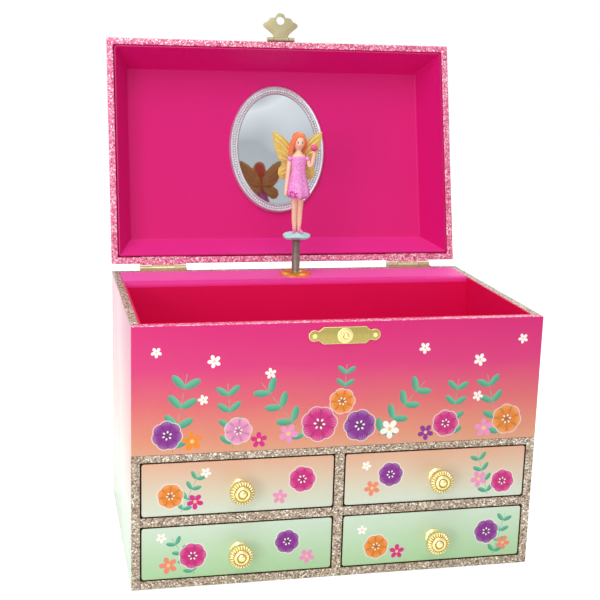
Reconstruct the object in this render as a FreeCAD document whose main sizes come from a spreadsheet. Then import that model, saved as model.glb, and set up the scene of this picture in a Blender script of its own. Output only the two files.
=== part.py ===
"""Musical jewellery box with four drawers, a mirror lid and a turning winged figurine, in millimetres.

The origin is the middle of the base, +Z is up and the drawers face -Y. The box is drawn as it stands
open: lid leaning back on its hinges, hasp swung out, drawers shut and figurine upright on its stem.
"""
import FreeCAD, Part
import math
import os
import re

import Sketcher

Vector = FreeCAD.Vector

doc = FreeCAD.newDocument("jewellery_box")
sheet = doc.addObject("Spreadsheet::Sheet", "Sizes")

# Driving dimensions: millimetres, degrees and tooth counts
SIZES = {
    # Case
    "body_width": 240,
    "body_depth": 152,
    "body_height": 155,
    "board": 5,
    "drawer_bay_height": 33,
    "shelf_thickness": 5.4,
    "tray_floor_thickness": 4.2,
    "divider_width": 5.5,
    "ledge_depth": 33.5,
    "ledge_thickness": 4,
    "ledge_edge_radius": 3,
    "partition_thickness": 3.5,
    "lining_thickness": 1,
    # Drawers and knobs
    "drawer_gap": 0.8,
    "drawer_front_thickness": 6,
    "drawer_corner_radius": 1.5,
    "drawer_end_gap": 7,
    "drawer_tray_height": 26,
    "drawer_wall": 3,
    "runner_gap": 0.3,
    "knob_diameter": 14.5,
    "knob_length": 14.5,
    "knob_foot_diameter": 9.6,
    "knob_foot_thickness": 1.4,
    "knob_neck_diameter": 7,
    "knob_rim_thickness": 3.2,
    "knob_ring_diameter": 11.6,
    "knob_boss_diameter": 5.4,
    "knob_step": 0.8,
    "screw_diameter": 3,
    "screw_head_diameter": 6,
    "screw_head_thickness": 1.6,
    "screw_grip": 6,
    "screw_clearance": 0.05,
    # Lid, lining and mirror
    "lid_height": 33,
    "lid_taper": 5.5,
    "lid_wall": 4.6,
    "lid_top_thickness": 4,
    "lid_open_angle": 104.4,
    "lid_seat_gap": 1.2,
    "lid_lining_depth": 28,
    "lid_lining_gap": 0.3,
    "lid_lining_side_lean": 9.4,
    "lid_lining_rear_lean": 12.6,
    "lid_lining_front_lean": 8.9,
    "mirror_frame_width": 68.5,
    "mirror_frame_length": 90,
    "mirror_frame_band": 6,
    "mirror_frame_thickness": 4,
    "mirror_thickness": 2,
    "mirror_offset": 5.6,
    "mirror_fit": 0.05,
    # Lid hinges and nails
    "hinge_length": 31,
    "hinge_spacing": 171.4,
    "hinge_leaf_width": 7.8,
    "hinge_leaf_thickness": 0.5,
    "hinge_knuckle_diameter": 3.8,
    "hinge_middle_knuckle": 15,
    "hinge_pin_diameter": 2,
    "hinge_pin_setback": 3.2,
    "knuckle_gap": 0.3,
    "pin_clearance": 0.05,
    "nail_diameter": 1.4,
    "nail_length": 4,
    "nail_head_diameter": 2.6,
    "nail_head_thickness": 0.6,
    "nail_clearance": 0.03,
    # Latch
    "keeper_width": 42,
    "keeper_height": 10,
    "keeper_lobe_diameter": 6.8,
    "keeper_body_width": 29,
    "keeper_drop": 8,
    "latch_plate_thickness": 0.7,
    "stud_base_diameter": 9,
    "stud_base_thickness": 0.8,
    "stud_diameter": 4.2,
    "stud_tip_diameter": 2.8,
    "stud_length": 4.4,
    "stud_shank_diameter": 2.4,
    "hasp_pin_rise": 3.6,
    "hasp_pin_standoff": 3,
    "hasp_pin_diameter": 1.4,
    "hasp_knuckle_diameter": 3.4,
    "hasp_end_knuckle": 4,
    "tongue_neck_width": 10.3,
    "tongue_thickness": 0.8,
    "tongue_fan_radius": 11.4,
    "tongue_fan_centre": 4,
    "tongue_lobe_radius": 3.2,
    "tongue_lobe_step": 25,
    "tongue_hole_diameter": 5.8,
    # Music movement
    "spindle_setback": 15,
    "spindle_diameter": 3,
    "spindle_top": 3.2,
    "collar_diameter": 21,
    "collar_thickness": 2,
    "collar_sleeve_diameter": 10,
    "collar_sleeve_length": 6,
    "bearing_clearance": 0.05,
    "bedplate_width": 72,
    "bedplate_thickness": 2,
    "bedplate_foot": 1.4,
    "bedplate_headroom": 3,
    "lug_thickness": 2,
    "lug_reach": 6,
    "running_gap": 0.4,
    "wheel_module": 0.6,
    "wheel_teeth": 40,
    "wheel_thickness": 2,
    "governor_teeth": 10,
    "governor_pinion_length": 4,
    "governor_arbor_diameter": 1.6,
    "fan_radius": 6.2,
    "fan_thickness": 1,
    "fan_height": 12,
    "cylinder_diameter": 13,
    "cylinder_length": 20,
    "cylinder_pin_diameter": 0.8,
    "cylinder_pin_height": 0.6,
    "cylinder_pin_angle": 137.5,
    "comb_thickness": 1,
    "comb_bar_width": 8,
    "comb_reach": 19.6,
    "comb_teeth": 18,
    "comb_slot": 0.35,
    "comb_tip_gap": 0.3,
    "crown_module": 1,
    "crown_teeth": 24,
    "crown_peg_width": 1,
    "crown_peg_length": 1.8,
    "crown_peg_depth": 2.4,
    "pinion_teeth": 10,
    "pinion_length": 6.5,
    "barrel_drop": 28,
    "barrel_diameter": 33,
    "barrel_depth": 6,
    "barrel_wall": 1.2,
    "mainspring_thickness": 0.5,
    "mainspring_pitch": 1.3,
    "mainspring_turns": 7,
    "arbor_diameter": 5,
    "arbor_head_diameter": 8,
    "arbor_head_thickness": 0.9,
    "arbor_hole_diameter": 9,
    "bed_screw_inset": 5,
    "key_clearance": 3,
    "key_boss_diameter": 8,
    "key_boss_length": 9,
    "key_span": 34,
    "key_wing_height": 15,
    "key_wing_thickness": 2.4,
    # Stem and figurine
    "stem_diameter": 6.2,
    "stem_wire": 0.9,
    "stem_pitch": 1.42,
    "stem_end_gap": 0.3,
    "figure_lift": 23.6,
    "figure_base_diameter": 20,
    "figure_base_thickness": 5,
    "figure_height": 71,
    "hem_height": 28.4,
    "hem_radius": 8.6,
    "waist_height": 46.5,
    "waist_radius": 3.1,
    "shoulder_height": 55,
    "shoulder_radius": 4.3,
    "neck_radius": 1.5,
    "head_height": 63.6,
    "head_radius": 4.6,
    "leg_radius": 2,
    "arm_radius": 1.2,
    "ball_radius": 2.2,
    "wing_span": 34,
    "wing_thickness": 1.4,
}

for row, (alias, value) in enumerate(SIZES.items(), start=1):
    sheet.set(f"A{row}", alias)
    sheet.set(f"B{row}", str(value))
    sheet.setAlias(f"B{row}", alias)
doc.recompute()

# Places worked out from the driving dimensions
PLACES = {
    "inner_half": "body_width / 2 - board",
    "front_y": "0 - body_depth / 2",
    "back_y": "body_depth / 2",
    "front_inner_y": "front_y + board",
    "back_inner_y": "back_y - board",
    "shelf_z": "board + drawer_bay_height",
    "upper_bay_z": "shelf_z + shelf_thickness",
    "tray_floor_z": "upper_bay_z + drawer_bay_height",
    "tray_z": "tray_floor_z + tray_floor_thickness",
    "ledge_front_y": "back_inner_y - ledge_depth",
    "ledge_z": "body_height - ledge_thickness",
    "drawer_half": "(inner_half + divider_width / 2) / 2",
    "drawer_width": "inner_half - divider_width / 2 - 2 * drawer_gap",
    "drawer_back_y": "front_y + drawer_front_thickness",
    "hinge_y": "back_y + hinge_pin_setback",
    "hinge_z": "body_height + lid_seat_gap / 2",
    "rim_y": "lid_seat_gap / 2",
    "rear_z": "hinge_pin_setback",
    "front_z": "rear_z + body_depth",
    "lid_slope": "atan(lid_taper / lid_height)",
    "lid_ceiling_y": "rim_y + lid_lining_depth",
    "mirror_z": "rear_z + body_depth / 2 + mirror_offset",
    "hinge_arm": "hinge_knuckle_diameter / 2 + knuckle_gap",
    "end_knuckle": "(hinge_length - hinge_middle_knuckle) / 2 - knuckle_gap",
    "nail_y": "back_y - board / 2",
    "keeper_z": "body_height - keeper_drop",
    "keeper_lobe_x": "(keeper_width - keeper_lobe_diameter) / 2",
    "hasp_pin_y": "rim_y + hasp_pin_rise * cos(lid_slope) + hasp_pin_standoff * sin(lid_slope)",
    "hasp_pin_z": "front_z - hasp_pin_rise * sin(lid_slope) + hasp_pin_standoff * cos(lid_slope)",
    "tongue_hole_z": "hinge_z + hasp_pin_y - keeper_z",
    "hasp_plate_rise": "hasp_pin_rise + (hasp_knuckle_diameter + keeper_height) / 2",
    "stud_grip": "nail_length - latch_plate_thickness",
    "spindle_y": "back_inner_y - spindle_setback",
    "bed_y": "back_inner_y - bedplate_thickness",
    "bed_z": "tray_z + bedplate_foot",
    "bed_top_z": "ledge_z - bedplate_headroom",
    "lug_top_z": "bed_z + lug_thickness",
    "wheel_z": "lug_top_z + running_gap",
    "cylinder_z": "wheel_z + wheel_thickness",
    "cylinder_top_z": "cylinder_z + cylinder_length",
    "governor_x": "wheel_module * (wheel_teeth + governor_teeth) / 2",
    "governor_lug_z": "cylinder_top_z + running_gap",
    "comb_tip_x": "cylinder_diameter / 2 + cylinder_pin_height + comb_tip_gap",
    "comb_back_x": "comb_tip_x + comb_reach",
    "comb_y": "spindle_y - comb_thickness / 2",
    "crown_radius": "crown_module * crown_teeth / 2",
    "pinion_radius": "crown_module * pinion_teeth / 2",
    "barrel_z": "body_height - barrel_drop",
    "barrel_y": "spindle_y + pinion_radius + 1.6 * crown_module",
    "pinion_z": "barrel_z + crown_radius - pinion_length / 2",
    "arbor_y": "barrel_y - running_gap / 2 - arbor_head_thickness",
    "key_y": "back_y + key_clearance",
    "bed_screw_x": "bedplate_width / 2 - bed_screw_inset",
    "figure_z": "body_height + figure_lift",
    "collar_top_z": "body_height + collar_thickness",
}


def bound(text):
    """An expression on the sheet, with each worked-out place written out."""

    def swap(match):
        name = match.group(0)
        if name in PLACES:
            return "(" + bound(PLACES[name]) + ")"
        return "Sizes." + name if name in SIZES else name

    return re.sub(r"[a-z_][a-z_0-9]*", swap, str(text))


def number(text):
    """The value of an expression, for shapes that are worked out point by point."""
    return float(sheet.evalExpression(bound(text)))


# Frames in which pieces are drawn: the keeper on the front, the open lid, and the hasp on the lid
KEEPER = "placement(vector(0; front_y; keeper_z); rotation(vector(1; 0; 0); 90))"
LID = "placement(vector(0; hinge_y; hinge_z); rotation(vector(1; 0; 0); 90 - lid_open_angle))"
HASP_WALL = "placement(vector(0; rim_y; front_z); rotation(vector(1; 0; 0); -1 * lid_slope))"
HASP_PLATE = HASP_WALL + " * placement(vector(0; hasp_plate_rise; 0); rotation(vector(1; 0; 0); 0))"
HASP_PIN = "placement(vector(0; hasp_pin_y; hasp_pin_z); rotation(vector(1; 0; 0); 0))"

# Turns that lay an object's own Z axis along another axis
TURNS = {
    "X": "rotation(vector(0; 1; 0); 90)",
    "Y": "rotation(vector(-1; 0; 0); 90)",
    "Z": "rotation(vector(0; 0; 1); 0)",
}

# How far a cutting tool reaches past the face that it opens
OVERCUT = 1

own_places = {}
nodes = {}


def place(item, at, turn=TURNS["Z"], within=None):
    """Bind where an object stands: at a point, turned, within a frame."""
    own = f"placement(vector({at[0]}; {at[1]}; {at[2]}); {turn})"
    if within:
        own = f"{within} * {own}"
    own_places[item.Name] = own
    item.setExpression("Placement", bound(own))
    return item


def node(label, item, frame=None):
    """Name a finished piece and stand it in its frame."""
    if frame:
        own = own_places.get(item.Name)
        item.setExpression("Placement", bound(f"{frame} * {own}" if own else frame))
    item.Label = label
    nodes[label] = item


def box(name, x, y, z, within=None):
    """A board between two places along each axis."""
    item = doc.addObject("Part::Box", name)
    for size, (low, high) in zip(("Length", "Width", "Height"), (x, y, z)):
        item.setExpression(size, bound(f"{high} - ({low})"))
    return place(item, (x[0], y[0], z[0]), within=within)


def rod(name, axis, diameter, span, centre, within=None):
    """A round bar along an axis, between two places on it."""
    item = doc.addObject("Part::Cylinder", name)
    item.setExpression("Radius", bound(f"({diameter}) / 2"))
    item.setExpression("Height", bound(f"{span[1]} - ({span[0]})"))
    at = list(centre)
    at.insert("XYZ".index(axis), span[0])
    return place(item, at, TURNS[axis], within)


def cone(name, axis, diameters, span, centre, within=None):
    """A round bar that tapers from one diameter to another."""
    item = doc.addObject("Part::Cone", name)
    item.setExpression("Radius1", bound(f"({diameters[0]}) / 2"))
    item.setExpression("Radius2", bound(f"({diameters[1]}) / 2"))
    item.setExpression("Height", bound(f"{span[1]} - ({span[0]})"))
    at = list(centre)
    at.insert("XYZ".index(axis), span[0])
    return place(item, at, TURNS[axis], within)


def oval_ball(name, radii, at, turn=TURNS["Z"]):
    """A ball with its own radius along each of its axes."""
    item = doc.addObject("Part::Ellipsoid", name)
    for size, radius in zip(("Radius2", "Radius3", "Radius1"), radii):
        item.setExpression(size, bound(radius))
    return place(item, at, turn)


def join(name, *items):
    """Pieces moulded or soldered into one solid."""
    item = doc.addObject("Part::MultiFuse", name)
    item.Shapes = list(items)
    return item


def cut(name, base, *tools):
    """A piece with holes or notches."""
    item = doc.addObject("Part::Cut", name)
    item.Base = base
    item.Tool = tools[0] if len(tools) == 1 else join(name + "_holes", *tools)
    return item


def group(name, *items):
    """Separate like solids that share a node."""
    item = doc.addObject("Part::Compound", name)
    item.Links = list(items)
    return item


def plane_of(body, role):
    """One of a body's own origin planes."""
    return next(f for f in body.Origin.OriginFeatures if f.Role == role)


def outline(body, name, role, points):
    """A closed sketch through points whose coordinates are bound to the sheet."""
    sketch = body.newObject("Sketcher::SketchObject", name)
    sketch.AttachmentSupport = [(plane_of(body, role), "")]
    sketch.MapMode = "FlatFace"
    corners = [Vector(number(x), number(y), 0) for x, y in points]
    count = len(corners)
    for index, corner in enumerate(corners):
        sketch.addGeometry(Part.LineSegment(corner, corners[(index + 1) % count]), False)
    for index in range(count):
        sketch.addConstraint(Sketcher.Constraint("Coincident", index, 2, (index + 1) % count, 1))
    for index, (point, corner) in enumerate(zip(points, corners)):
        for kind, text, length in zip(("DistanceX", "DistanceY"), point, corner):
            limit = sketch.addConstraint(Sketcher.Constraint(kind, -1, 1, index, 1, length))
            sketch.setExpression(f"Constraints[{limit}]", bound(text))
    return sketch


def turned(name, points):
    """A body turned about its own Z axis from half its section, given as radius and height."""
    body = doc.addObject("PartDesign::Body", name)
    sketch = outline(body, name + "_section", "XZ_Plane", points)
    turn = body.newObject("PartDesign::Revolution", name + "_turn")
    turn.Profile = sketch
    turn.ReferenceAxis = (sketch, ["V_Axis"])
    turn.Angle = 360
    return body


def flat(name, role, points, length):
    """A body cut from sheet or board to an outline."""
    body = doc.addObject("PartDesign::Body", name)
    pad = body.newObject("PartDesign::Pad", name + "_pad")
    pad.Profile = outline(body, name + "_outline", role, points)
    pad.setExpression("Length", bound(length))
    return body


def ring_of(body, name, feature, sketch, count):
    """A feature of a body repeated evenly around its Z axis."""
    pattern = body.newObject("PartDesign::PolarPattern", name)
    pattern.Originals = [feature]
    pattern.Axis = (sketch, ["N_Axis"])
    pattern.Angle = 360
    pattern.setExpression("Occurrences", bound(count))
    body.Tip = pattern


def toothed(name, module, teeth, length):
    """A spur gear on its own Z axis with a tooth gap on its X axis, cut with ample backlash."""
    tip = f"({module} * ({teeth} / 2 + 0.8))"
    root = f"({module} * ({teeth} / 2 - 1.15))"
    body = doc.addObject("PartDesign::Body", name)
    blank = body.newObject("Sketcher::SketchObject", name + "_blank")
    blank.AttachmentSupport = [(plane_of(body, "XY_Plane"), "")]
    blank.MapMode = "FlatFace"
    blank.addGeometry(Part.Circle(Vector(0, 0, 0), Vector(0, 0, 1), number(tip)), False)
    blank.addConstraint(Sketcher.Constraint("Coincident", 0, 3, -1, 1))
    limit = blank.addConstraint(Sketcher.Constraint("Radius", 0, number(tip)))
    blank.setExpression(f"Constraints[{limit}]", bound(tip))
    pad = body.newObject("PartDesign::Pad", name + "_pad")
    pad.Profile = blank
    pad.setExpression("Length", bound(length))
    narrow = f"{module} * pi * 0.23"
    wide = f"{module} * pi * 0.43"
    gap = outline(body, name + "_gap", "XY_Plane", [
        (root, f"0 - {narrow}"),
        (f"{tip} + {module} / 5", f"0 - {wide}"),
        (f"{tip} + {module} / 5", wide),
        (root, narrow),
    ])
    pocket = body.newObject("PartDesign::Pocket", name + "_pocket")
    pocket.Profile = gap
    pocket.Type = "ThroughAll"
    pocket.Midplane = True
    ring_of(body, name + "_teeth", pocket, blank, teeth)
    return body


def nail(name, axis, direction, tip, centre, head=False, within=None):
    """A nail whose shank starts flush at a face and runs into a board, with or without a domed head."""
    end = f"{tip} + {direction} * nail_length"
    span = (tip, end) if direction > 0 else (end, tip)
    shank = rod(name, axis, "nail_diameter", span, centre, within)
    if not head:
        return shank
    top = f"{tip} - {direction} * nail_head_thickness"
    cap_span = (top, tip) if direction > 0 else (tip, top)
    cap = rod(name + "_cap", axis, "nail_head_diameter", cap_span, centre, within)
    return join(name + "_whole", shank, cap)


def nail_hole(name, axis, direction, tip, centre, within=None):
    """The hole that a nail fills in a board or a plate."""
    end = f"{tip} + {direction} * (nail_length + nail_clearance)"
    start = f"{tip} - {direction} * {OVERCUT}"
    span = (start, end) if direction > 0 else (end, start)
    return rod(name, axis, "nail_diameter + 2 * nail_clearance", span, centre, within)


def screw(name, face, spot):
    """A screw driven towards the back, with its head on a face."""
    shank = rod(name, "Y", "screw_diameter", (face, f"{face} + screw_grip"), spot)
    head = rod(name + "_head", "Y", "screw_head_diameter", (f"{face} - screw_head_thickness", face), spot)
    return join(name + "_whole", shank, head)


def screw_hole(name, face, spot):
    """The hole that such a screw fills."""
    span = (f"{face} - {OVERCUT}", f"{face} + screw_grip + screw_clearance")
    return rod(name, "Y", "screw_diameter + 2 * screw_clearance", span, spot)


HINGE_SIDES = {"left": "0 - hinge_spacing / 2", "right": "hinge_spacing / 2"}
HINGE_NAIL_STEPS = {"a": "0 - hinge_length / 4", "b": "hinge_length / 4"}
HINGE_NAILS = {
    side + step: f"{centre} + {offset}"
    for side, centre in HINGE_SIDES.items()
    for step, offset in HINGE_NAIL_STEPS.items()
}
LATCH_NAILS = {"left": "0 - keeper_lobe_x", "right": "keeper_lobe_x"}
COMB_SCREWS = {
    level: ("comb_bar_width / 2 - comb_back_x", f"cylinder_z + cylinder_length * {share}")
    for level, share in {"low": 0.2, "high": 0.8}.items()
}
BED_SCREWS = {
    side + level: (f"{sign} * bed_screw_x", height)
    for side, sign in {"left": -1, "right": 1}.items()
    for level, height in {
        "low": "bed_z + bed_screw_inset",
        "high": "bed_top_z - bed_screw_inset",
    }.items()
}


def latch_holes(name, frame):
    """Holes for the two nails of a latch plate, through the plate and into its board."""
    return [
        nail_hole(f"{name}_{side}_hole", "Z", -1, "latch_plate_thickness", (x, "0"), frame)
        for side, x in LATCH_NAILS.items()
    ]


def stud_hole(name):
    """The hole for the keeper stud's shank, through the plate and into the front board."""
    span = ("0 - (stud_grip + nail_clearance)", f"latch_plate_thickness + {OVERCUT}")
    return rod(name + "_stud_hole", "Z", "stud_shank_diameter + 2 * nail_clearance", span, ("0", "0"), KEEPER)


def case_boards():
    """Base, sides, back, front, shelf, dividers and the floor of the tray."""
    across = ("0 - inner_half", "inner_half")
    inside = ("front_y", "back_inner_y")
    node("base_board", box("base", across, inside, ("0", "board")))
    for side, sign in (("left", -1), ("right", 1)):
        inner = f"{sign} * inner_half"
        outer = f"{sign} * body_width / 2"
        span = (outer, inner) if sign < 0 else (inner, outer)
        board = box(side + "_side", span, ("front_y", "back_y"), ("0", "body_height"))
        rebate = box(side + "_rebate", span, ("front_y", "front_inner_y"), ("tray_z", "body_height"))
        node(f"{side}_side_board", cut(side + "_side_cut", board, rebate))
    front = box("front", ("0 - body_width / 2", "body_width / 2"), ("front_y", "front_inner_y"),
                ("tray_z", "body_height"))
    node("front_board", cut("front_cut", front, *latch_holes("front", KEEPER), stud_hole("front")))
    back = box("back", across, ("back_inner_y", "back_y"), ("0", "body_height"))
    holes = [
        nail_hole(f"back_{name}_hole", "Z", -1, "body_height + hinge_leaf_thickness", (x, "nail_y"))
        for name, x in HINGE_NAILS.items()
    ]
    holes += [
        screw_hole(f"back_{name}_screw_hole", "bed_y", spot)
        for name, spot in BED_SCREWS.items()
    ]
    arbor = rod("back_arbor_hole", "Y", "arbor_hole_diameter",
                (f"back_inner_y - {OVERCUT}", f"back_y + {OVERCUT}"), ("0", "barrel_z"))
    node("back_board", cut("back_cut", back, arbor, *holes))
    node("drawer_shelf", box("shelf", across, inside, ("shelf_z", "upper_bay_z")))
    node("tray_floor", box("floor", across, inside, ("tray_floor_z", "tray_z")))
    middle = ("0 - divider_width / 2", "divider_width / 2")
    node("drawer_dividers", group(
        "dividers",
        box("lower_divider", middle, inside, ("board", "shelf_z")),
        box("upper_divider", middle, inside, ("upper_bay_z", "tray_floor_z")),
    ))


def tray_pieces():
    """Partition, ledge and lining of the upper tray, and the gilt collar in the ledge."""
    across = ("0 - inner_half", "inner_half")
    node("movement_partition", box(
        "partition", across, ("ledge_front_y", "ledge_front_y + partition_thickness"), ("tray_z", "ledge_z")))
    profile = [
        ("ledge_front_y", "ledge_z"),
        ("back_inner_y", "ledge_z"),
        ("back_inner_y", "body_height"),
        ("ledge_front_y", "body_height"),
    ]
    ledge = flat("ledge", "YZ_Plane", profile, "2 * inner_half")
    doc.getObject("ledge_pad").Midplane = True
    doc.recompute()
    edges = doc.getObject("ledge_pad").Shape.Edges
    nose = next(
        index for index, edge in enumerate(edges, start=1)
        if abs(edge.CenterOfMass.y - number("ledge_front_y")) < 1e-6
        and abs(edge.CenterOfMass.z - number("body_height")) < 1e-6
    )
    rounding = ledge.newObject("PartDesign::Fillet", "ledge_nose")
    rounding.Base = (doc.getObject("ledge_pad"), [f"Edge{nose}"])
    rounding.setExpression("Radius", bound("min(ledge_edge_radius; ledge_thickness * 0.9)"))
    sleeve = rod("ledge_hole", "Z", "collar_sleeve_diameter + 2 * bearing_clearance",
                 (f"ledge_z - {OVERCUT}", f"body_height + {OVERCUT}"), ("0", "spindle_y"))
    node("ledge_board", cut("ledge_cut", ledge, sleeve))
    outer = box("lining_outer", across, ("front_inner_y", "ledge_front_y"), ("tray_z", "body_height"))
    inner = box(
        "lining_inner",
        ("lining_thickness - inner_half", "inner_half - lining_thickness"),
        ("front_inner_y + lining_thickness", "ledge_front_y - lining_thickness"),
        ("tray_z + lining_thickness", f"body_height + {OVERCUT}"),
    )
    rounded_top = box(
        "lining_top_back", across, ("ledge_front_y - lining_thickness", "ledge_front_y"),
        ("body_height - ledge_edge_radius", f"body_height + {OVERCUT}"))
    node("tray_lining", cut("lining_cut", outer, inner, rounded_top))
    collar = turned("collar", [
        ("spindle_diameter / 2 + bearing_clearance", "ledge_thickness - collar_sleeve_length"),
        ("collar_sleeve_diameter / 2", "ledge_thickness - collar_sleeve_length"),
        ("collar_sleeve_diameter / 2", "ledge_thickness"),
        ("collar_diameter / 2", "ledge_thickness"),
        ("collar_diameter / 2", "ledge_thickness + collar_thickness / 2"),
        ("collar_diameter / 2 - collar_thickness", "ledge_thickness + collar_thickness"),
        ("stem_diameter / 2 + collar_thickness", "ledge_thickness + collar_thickness"),
        ("stem_diameter / 2", "ledge_thickness + collar_thickness / 2"),
        ("spindle_diameter / 2 + bearing_clearance", "ledge_thickness + collar_thickness / 2"),
    ])
    node("spindle_collar", place(collar, ("0", "spindle_y", "ledge_z")))


def drawer(label, sign, floor_z):
    """One drawer: its front, its open tray, its knob and the screw that holds the knob."""
    middle = f"{sign} * drawer_half"
    centre_z = f"{floor_z} + drawer_bay_height / 2"
    half = "drawer_width / 2"
    rise = "drawer_bay_height / 2 - drawer_gap"
    front = flat(label + "_front", "XZ_Plane", [
        (f"0 - {half}", f"0 - ({rise})"),
        (half, f"0 - ({rise})"),
        (half, rise),
        (f"0 - {half}", rise),
    ], "drawer_front_thickness")
    pad = doc.getObject(label + "_front_pad")
    pad.Reversed = True
    doc.recompute()
    corners = [
        f"Edge{index}" for index, edge in enumerate(pad.Shape.Edges, start=1)
        if abs(edge.BoundBox.YLength - number("drawer_front_thickness")) < 1e-6
    ]
    rounding = front.newObject("PartDesign::Fillet", label + "_corners")
    rounding.Base = (pad, corners)
    rounding.setExpression("Radius", bound("drawer_corner_radius"))
    place(front, (middle, "front_y", centre_z))
    hole = rod(label + "_front_hole", "Y", "screw_diameter + 2 * screw_clearance",
               (f"front_y - {OVERCUT}", f"drawer_back_y + {OVERCUT}"), (middle, centre_z))
    node(f"{label}_drawer_front", cut(label + "_front_cut", front, hole))

    left = f"{middle} - {half}"
    right = f"{middle} + {half}"
    low = f"{floor_z} + runner_gap"
    end = "back_y - board - drawer_end_gap"
    outer = box(label + "_tray", (left, right), ("drawer_back_y", end), (low, f"{low} + drawer_tray_height"))
    inner = box(label + "_room", (f"{left} + drawer_wall", f"{right} - drawer_wall"),
                (f"drawer_back_y - {OVERCUT}", f"{end} - drawer_wall"),
                (f"{low} + drawer_wall", f"{low} + drawer_tray_height + {OVERCUT}"))
    node(f"{label}_drawer_tray", cut(label + "_tray_cut", outer, inner))

    bore = "screw_diameter / 2 + screw_clearance"
    socket = "screw_grip + screw_clearance"
    face = "knob_length - 2 * knob_step"
    knob = turned(label + "_knob", [
        (bore, "0"),
        ("knob_foot_diameter / 2", "0"),
        ("knob_foot_diameter / 2", "knob_foot_thickness"),
        ("knob_neck_diameter / 2", "knob_foot_thickness + knob_step"),
        ("knob_neck_diameter / 2", f"({face} - knob_rim_thickness) * 0.62"),
        ("knob_diameter / 2", f"{face} - knob_rim_thickness"),
        ("knob_diameter / 2", f"{face} - knob_step"),
        ("knob_diameter / 2 - knob_step", face),
        ("knob_ring_diameter / 2", face),
        ("knob_ring_diameter / 2 - knob_step", f"{face} - knob_step"),
        ("knob_boss_diameter / 2 + knob_step", f"{face} - knob_step"),
        ("knob_boss_diameter / 2", "knob_length - knob_step"),
        ("knob_boss_diameter / 2 - knob_step", "knob_length"),
        ("0", "knob_length"),
        ("0", socket),
        (bore, socket),
    ])
    node(f"{label}_knob", place(knob, (middle, "front_y", centre_z), "rotation(vector(1; 0; 0); 90)"))

    shank = rod(label + "_shank", "Y", "screw_diameter", ("front_y - screw_grip", "drawer_back_y"),
                (middle, centre_z))
    head = rod(label + "_head", "Y", "screw_head_diameter",
               ("drawer_back_y", "drawer_back_y + screw_head_thickness"), (middle, centre_z))
    node(f"{label}_knob_screw", join(label + "_screw", shank, head))


def lid_block(name, low, high, left, right, rear, front):
    """A block in the lid's frame between two depths, its sides inset from the lid's leaning faces."""
    item = doc.addObject("Part::Wedge", name)
    item.setExpression("Ymin", bound(f"rim_y + {low}"))
    item.setExpression("Ymax", bound(f"rim_y + {high}"))
    for level, depth in (("", low), ("2", high)):
        lean = f"({depth}) * lid_taper / lid_height"
        item.setExpression(f"X{level}min", bound(f"0 - body_width / 2 + {left} + {lean}"))
        item.setExpression(f"X{level}max", bound(f"body_width / 2 - ({right}) - {lean}"))
        item.setExpression(f"Z{level}min", bound(f"rear_z + {rear} + {lean}"))
        item.setExpression(f"Z{level}max", bound(f"front_z - ({front}) - {lean}"))
    return item


def lid_boards():
    """Four leaning walls and the top of the lid, with the holes for its nails."""
    whole = {"left": "0", "right": "0", "rear": "0", "front": "0"}
    between = {**whole, "rear": "lid_wall", "front": "lid_wall"}
    outside = dict.fromkeys(whole, "0 - lid_wall")

    def wall(side, limits, *holes):
        blank = lid_block(f"lid_{side}", "0", "lid_height", **limits)
        inside = lid_block(f"lid_{side}_inside", f"0 - {OVERCUT}", f"lid_height + {OVERCUT}",
                           **{**outside, side: "lid_wall"})
        return cut(f"lid_{side}_cut", blank, inside, *holes)

    hinge_holes = [
        nail_hole(f"lid_{name}_hole", "Y", 1, "rim_y - hinge_leaf_thickness", (x, "rear_z + lid_wall / 2"))
        for name, x in HINGE_NAILS.items()
    ]
    node("lid_front_board", wall("front", whole, *latch_holes("lid_front", HASP_PLATE)), LID)
    node("lid_back_board", wall("rear", whole, *hinge_holes), LID)
    node("lid_left_board", wall("left", between), LID)
    node("lid_right_board", wall("right", between), LID)
    node("lid_top_board", lid_block(
        "lid_top", "lid_height - lid_top_thickness", "lid_height", **dict.fromkeys(whole, "lid_wall")), LID)


def lining_block(name, depth, grow):
    """The lid lining's inner form, grown outwards by a thickness and running down to a depth."""
    item = doc.addObject("Part::Wedge", name)
    half = "body_width / 2 - lid_wall - lid_lining_gap - lining_thickness"
    rear = "rear_z + lid_wall + lid_lining_gap + lining_thickness"
    front = "front_z - lid_wall - lid_lining_gap - lining_thickness"
    limits = {
        "Ymin": "rim_y", "Ymax": f"rim_y + {depth}",
        "Xmin": f"0 - ({half} + {grow})", "Xmax": f"{half} + {grow}",
        "Zmin": f"{rear} - {grow}", "Zmax": f"{front} + {grow}",
        "X2min": f"0 - ({half} + {grow} - lid_lining_side_lean)",
        "X2max": f"{half} + {grow} - lid_lining_side_lean",
        "Z2min": f"{rear} - {grow} + lid_lining_rear_lean",
        "Z2max": f"{front} + {grow} - lid_lining_front_lean",
    }
    for limit, text in limits.items():
        item.setExpression(limit, bound(text))
    return item


def oval(name, width, length, thickness, at, turn):
    """A flat oval plate: its length along its own X axis, its thickness along its own Z axis."""
    edge = doc.addObject("Part::Ellipse", name + "_edge")
    edge.setExpression("MajorRadius", bound(f"({length}) / 2"))
    edge.setExpression("MinorRadius", bound(f"({width}) / 2"))
    place(edge, at, turn)
    plate = doc.addObject("Part::Extrusion", name)
    plate.Base = edge
    plate.DirMode = "Normal"
    plate.setExpression("LengthFwd", bound(thickness))
    plate.Solid = True
    return plate


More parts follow.
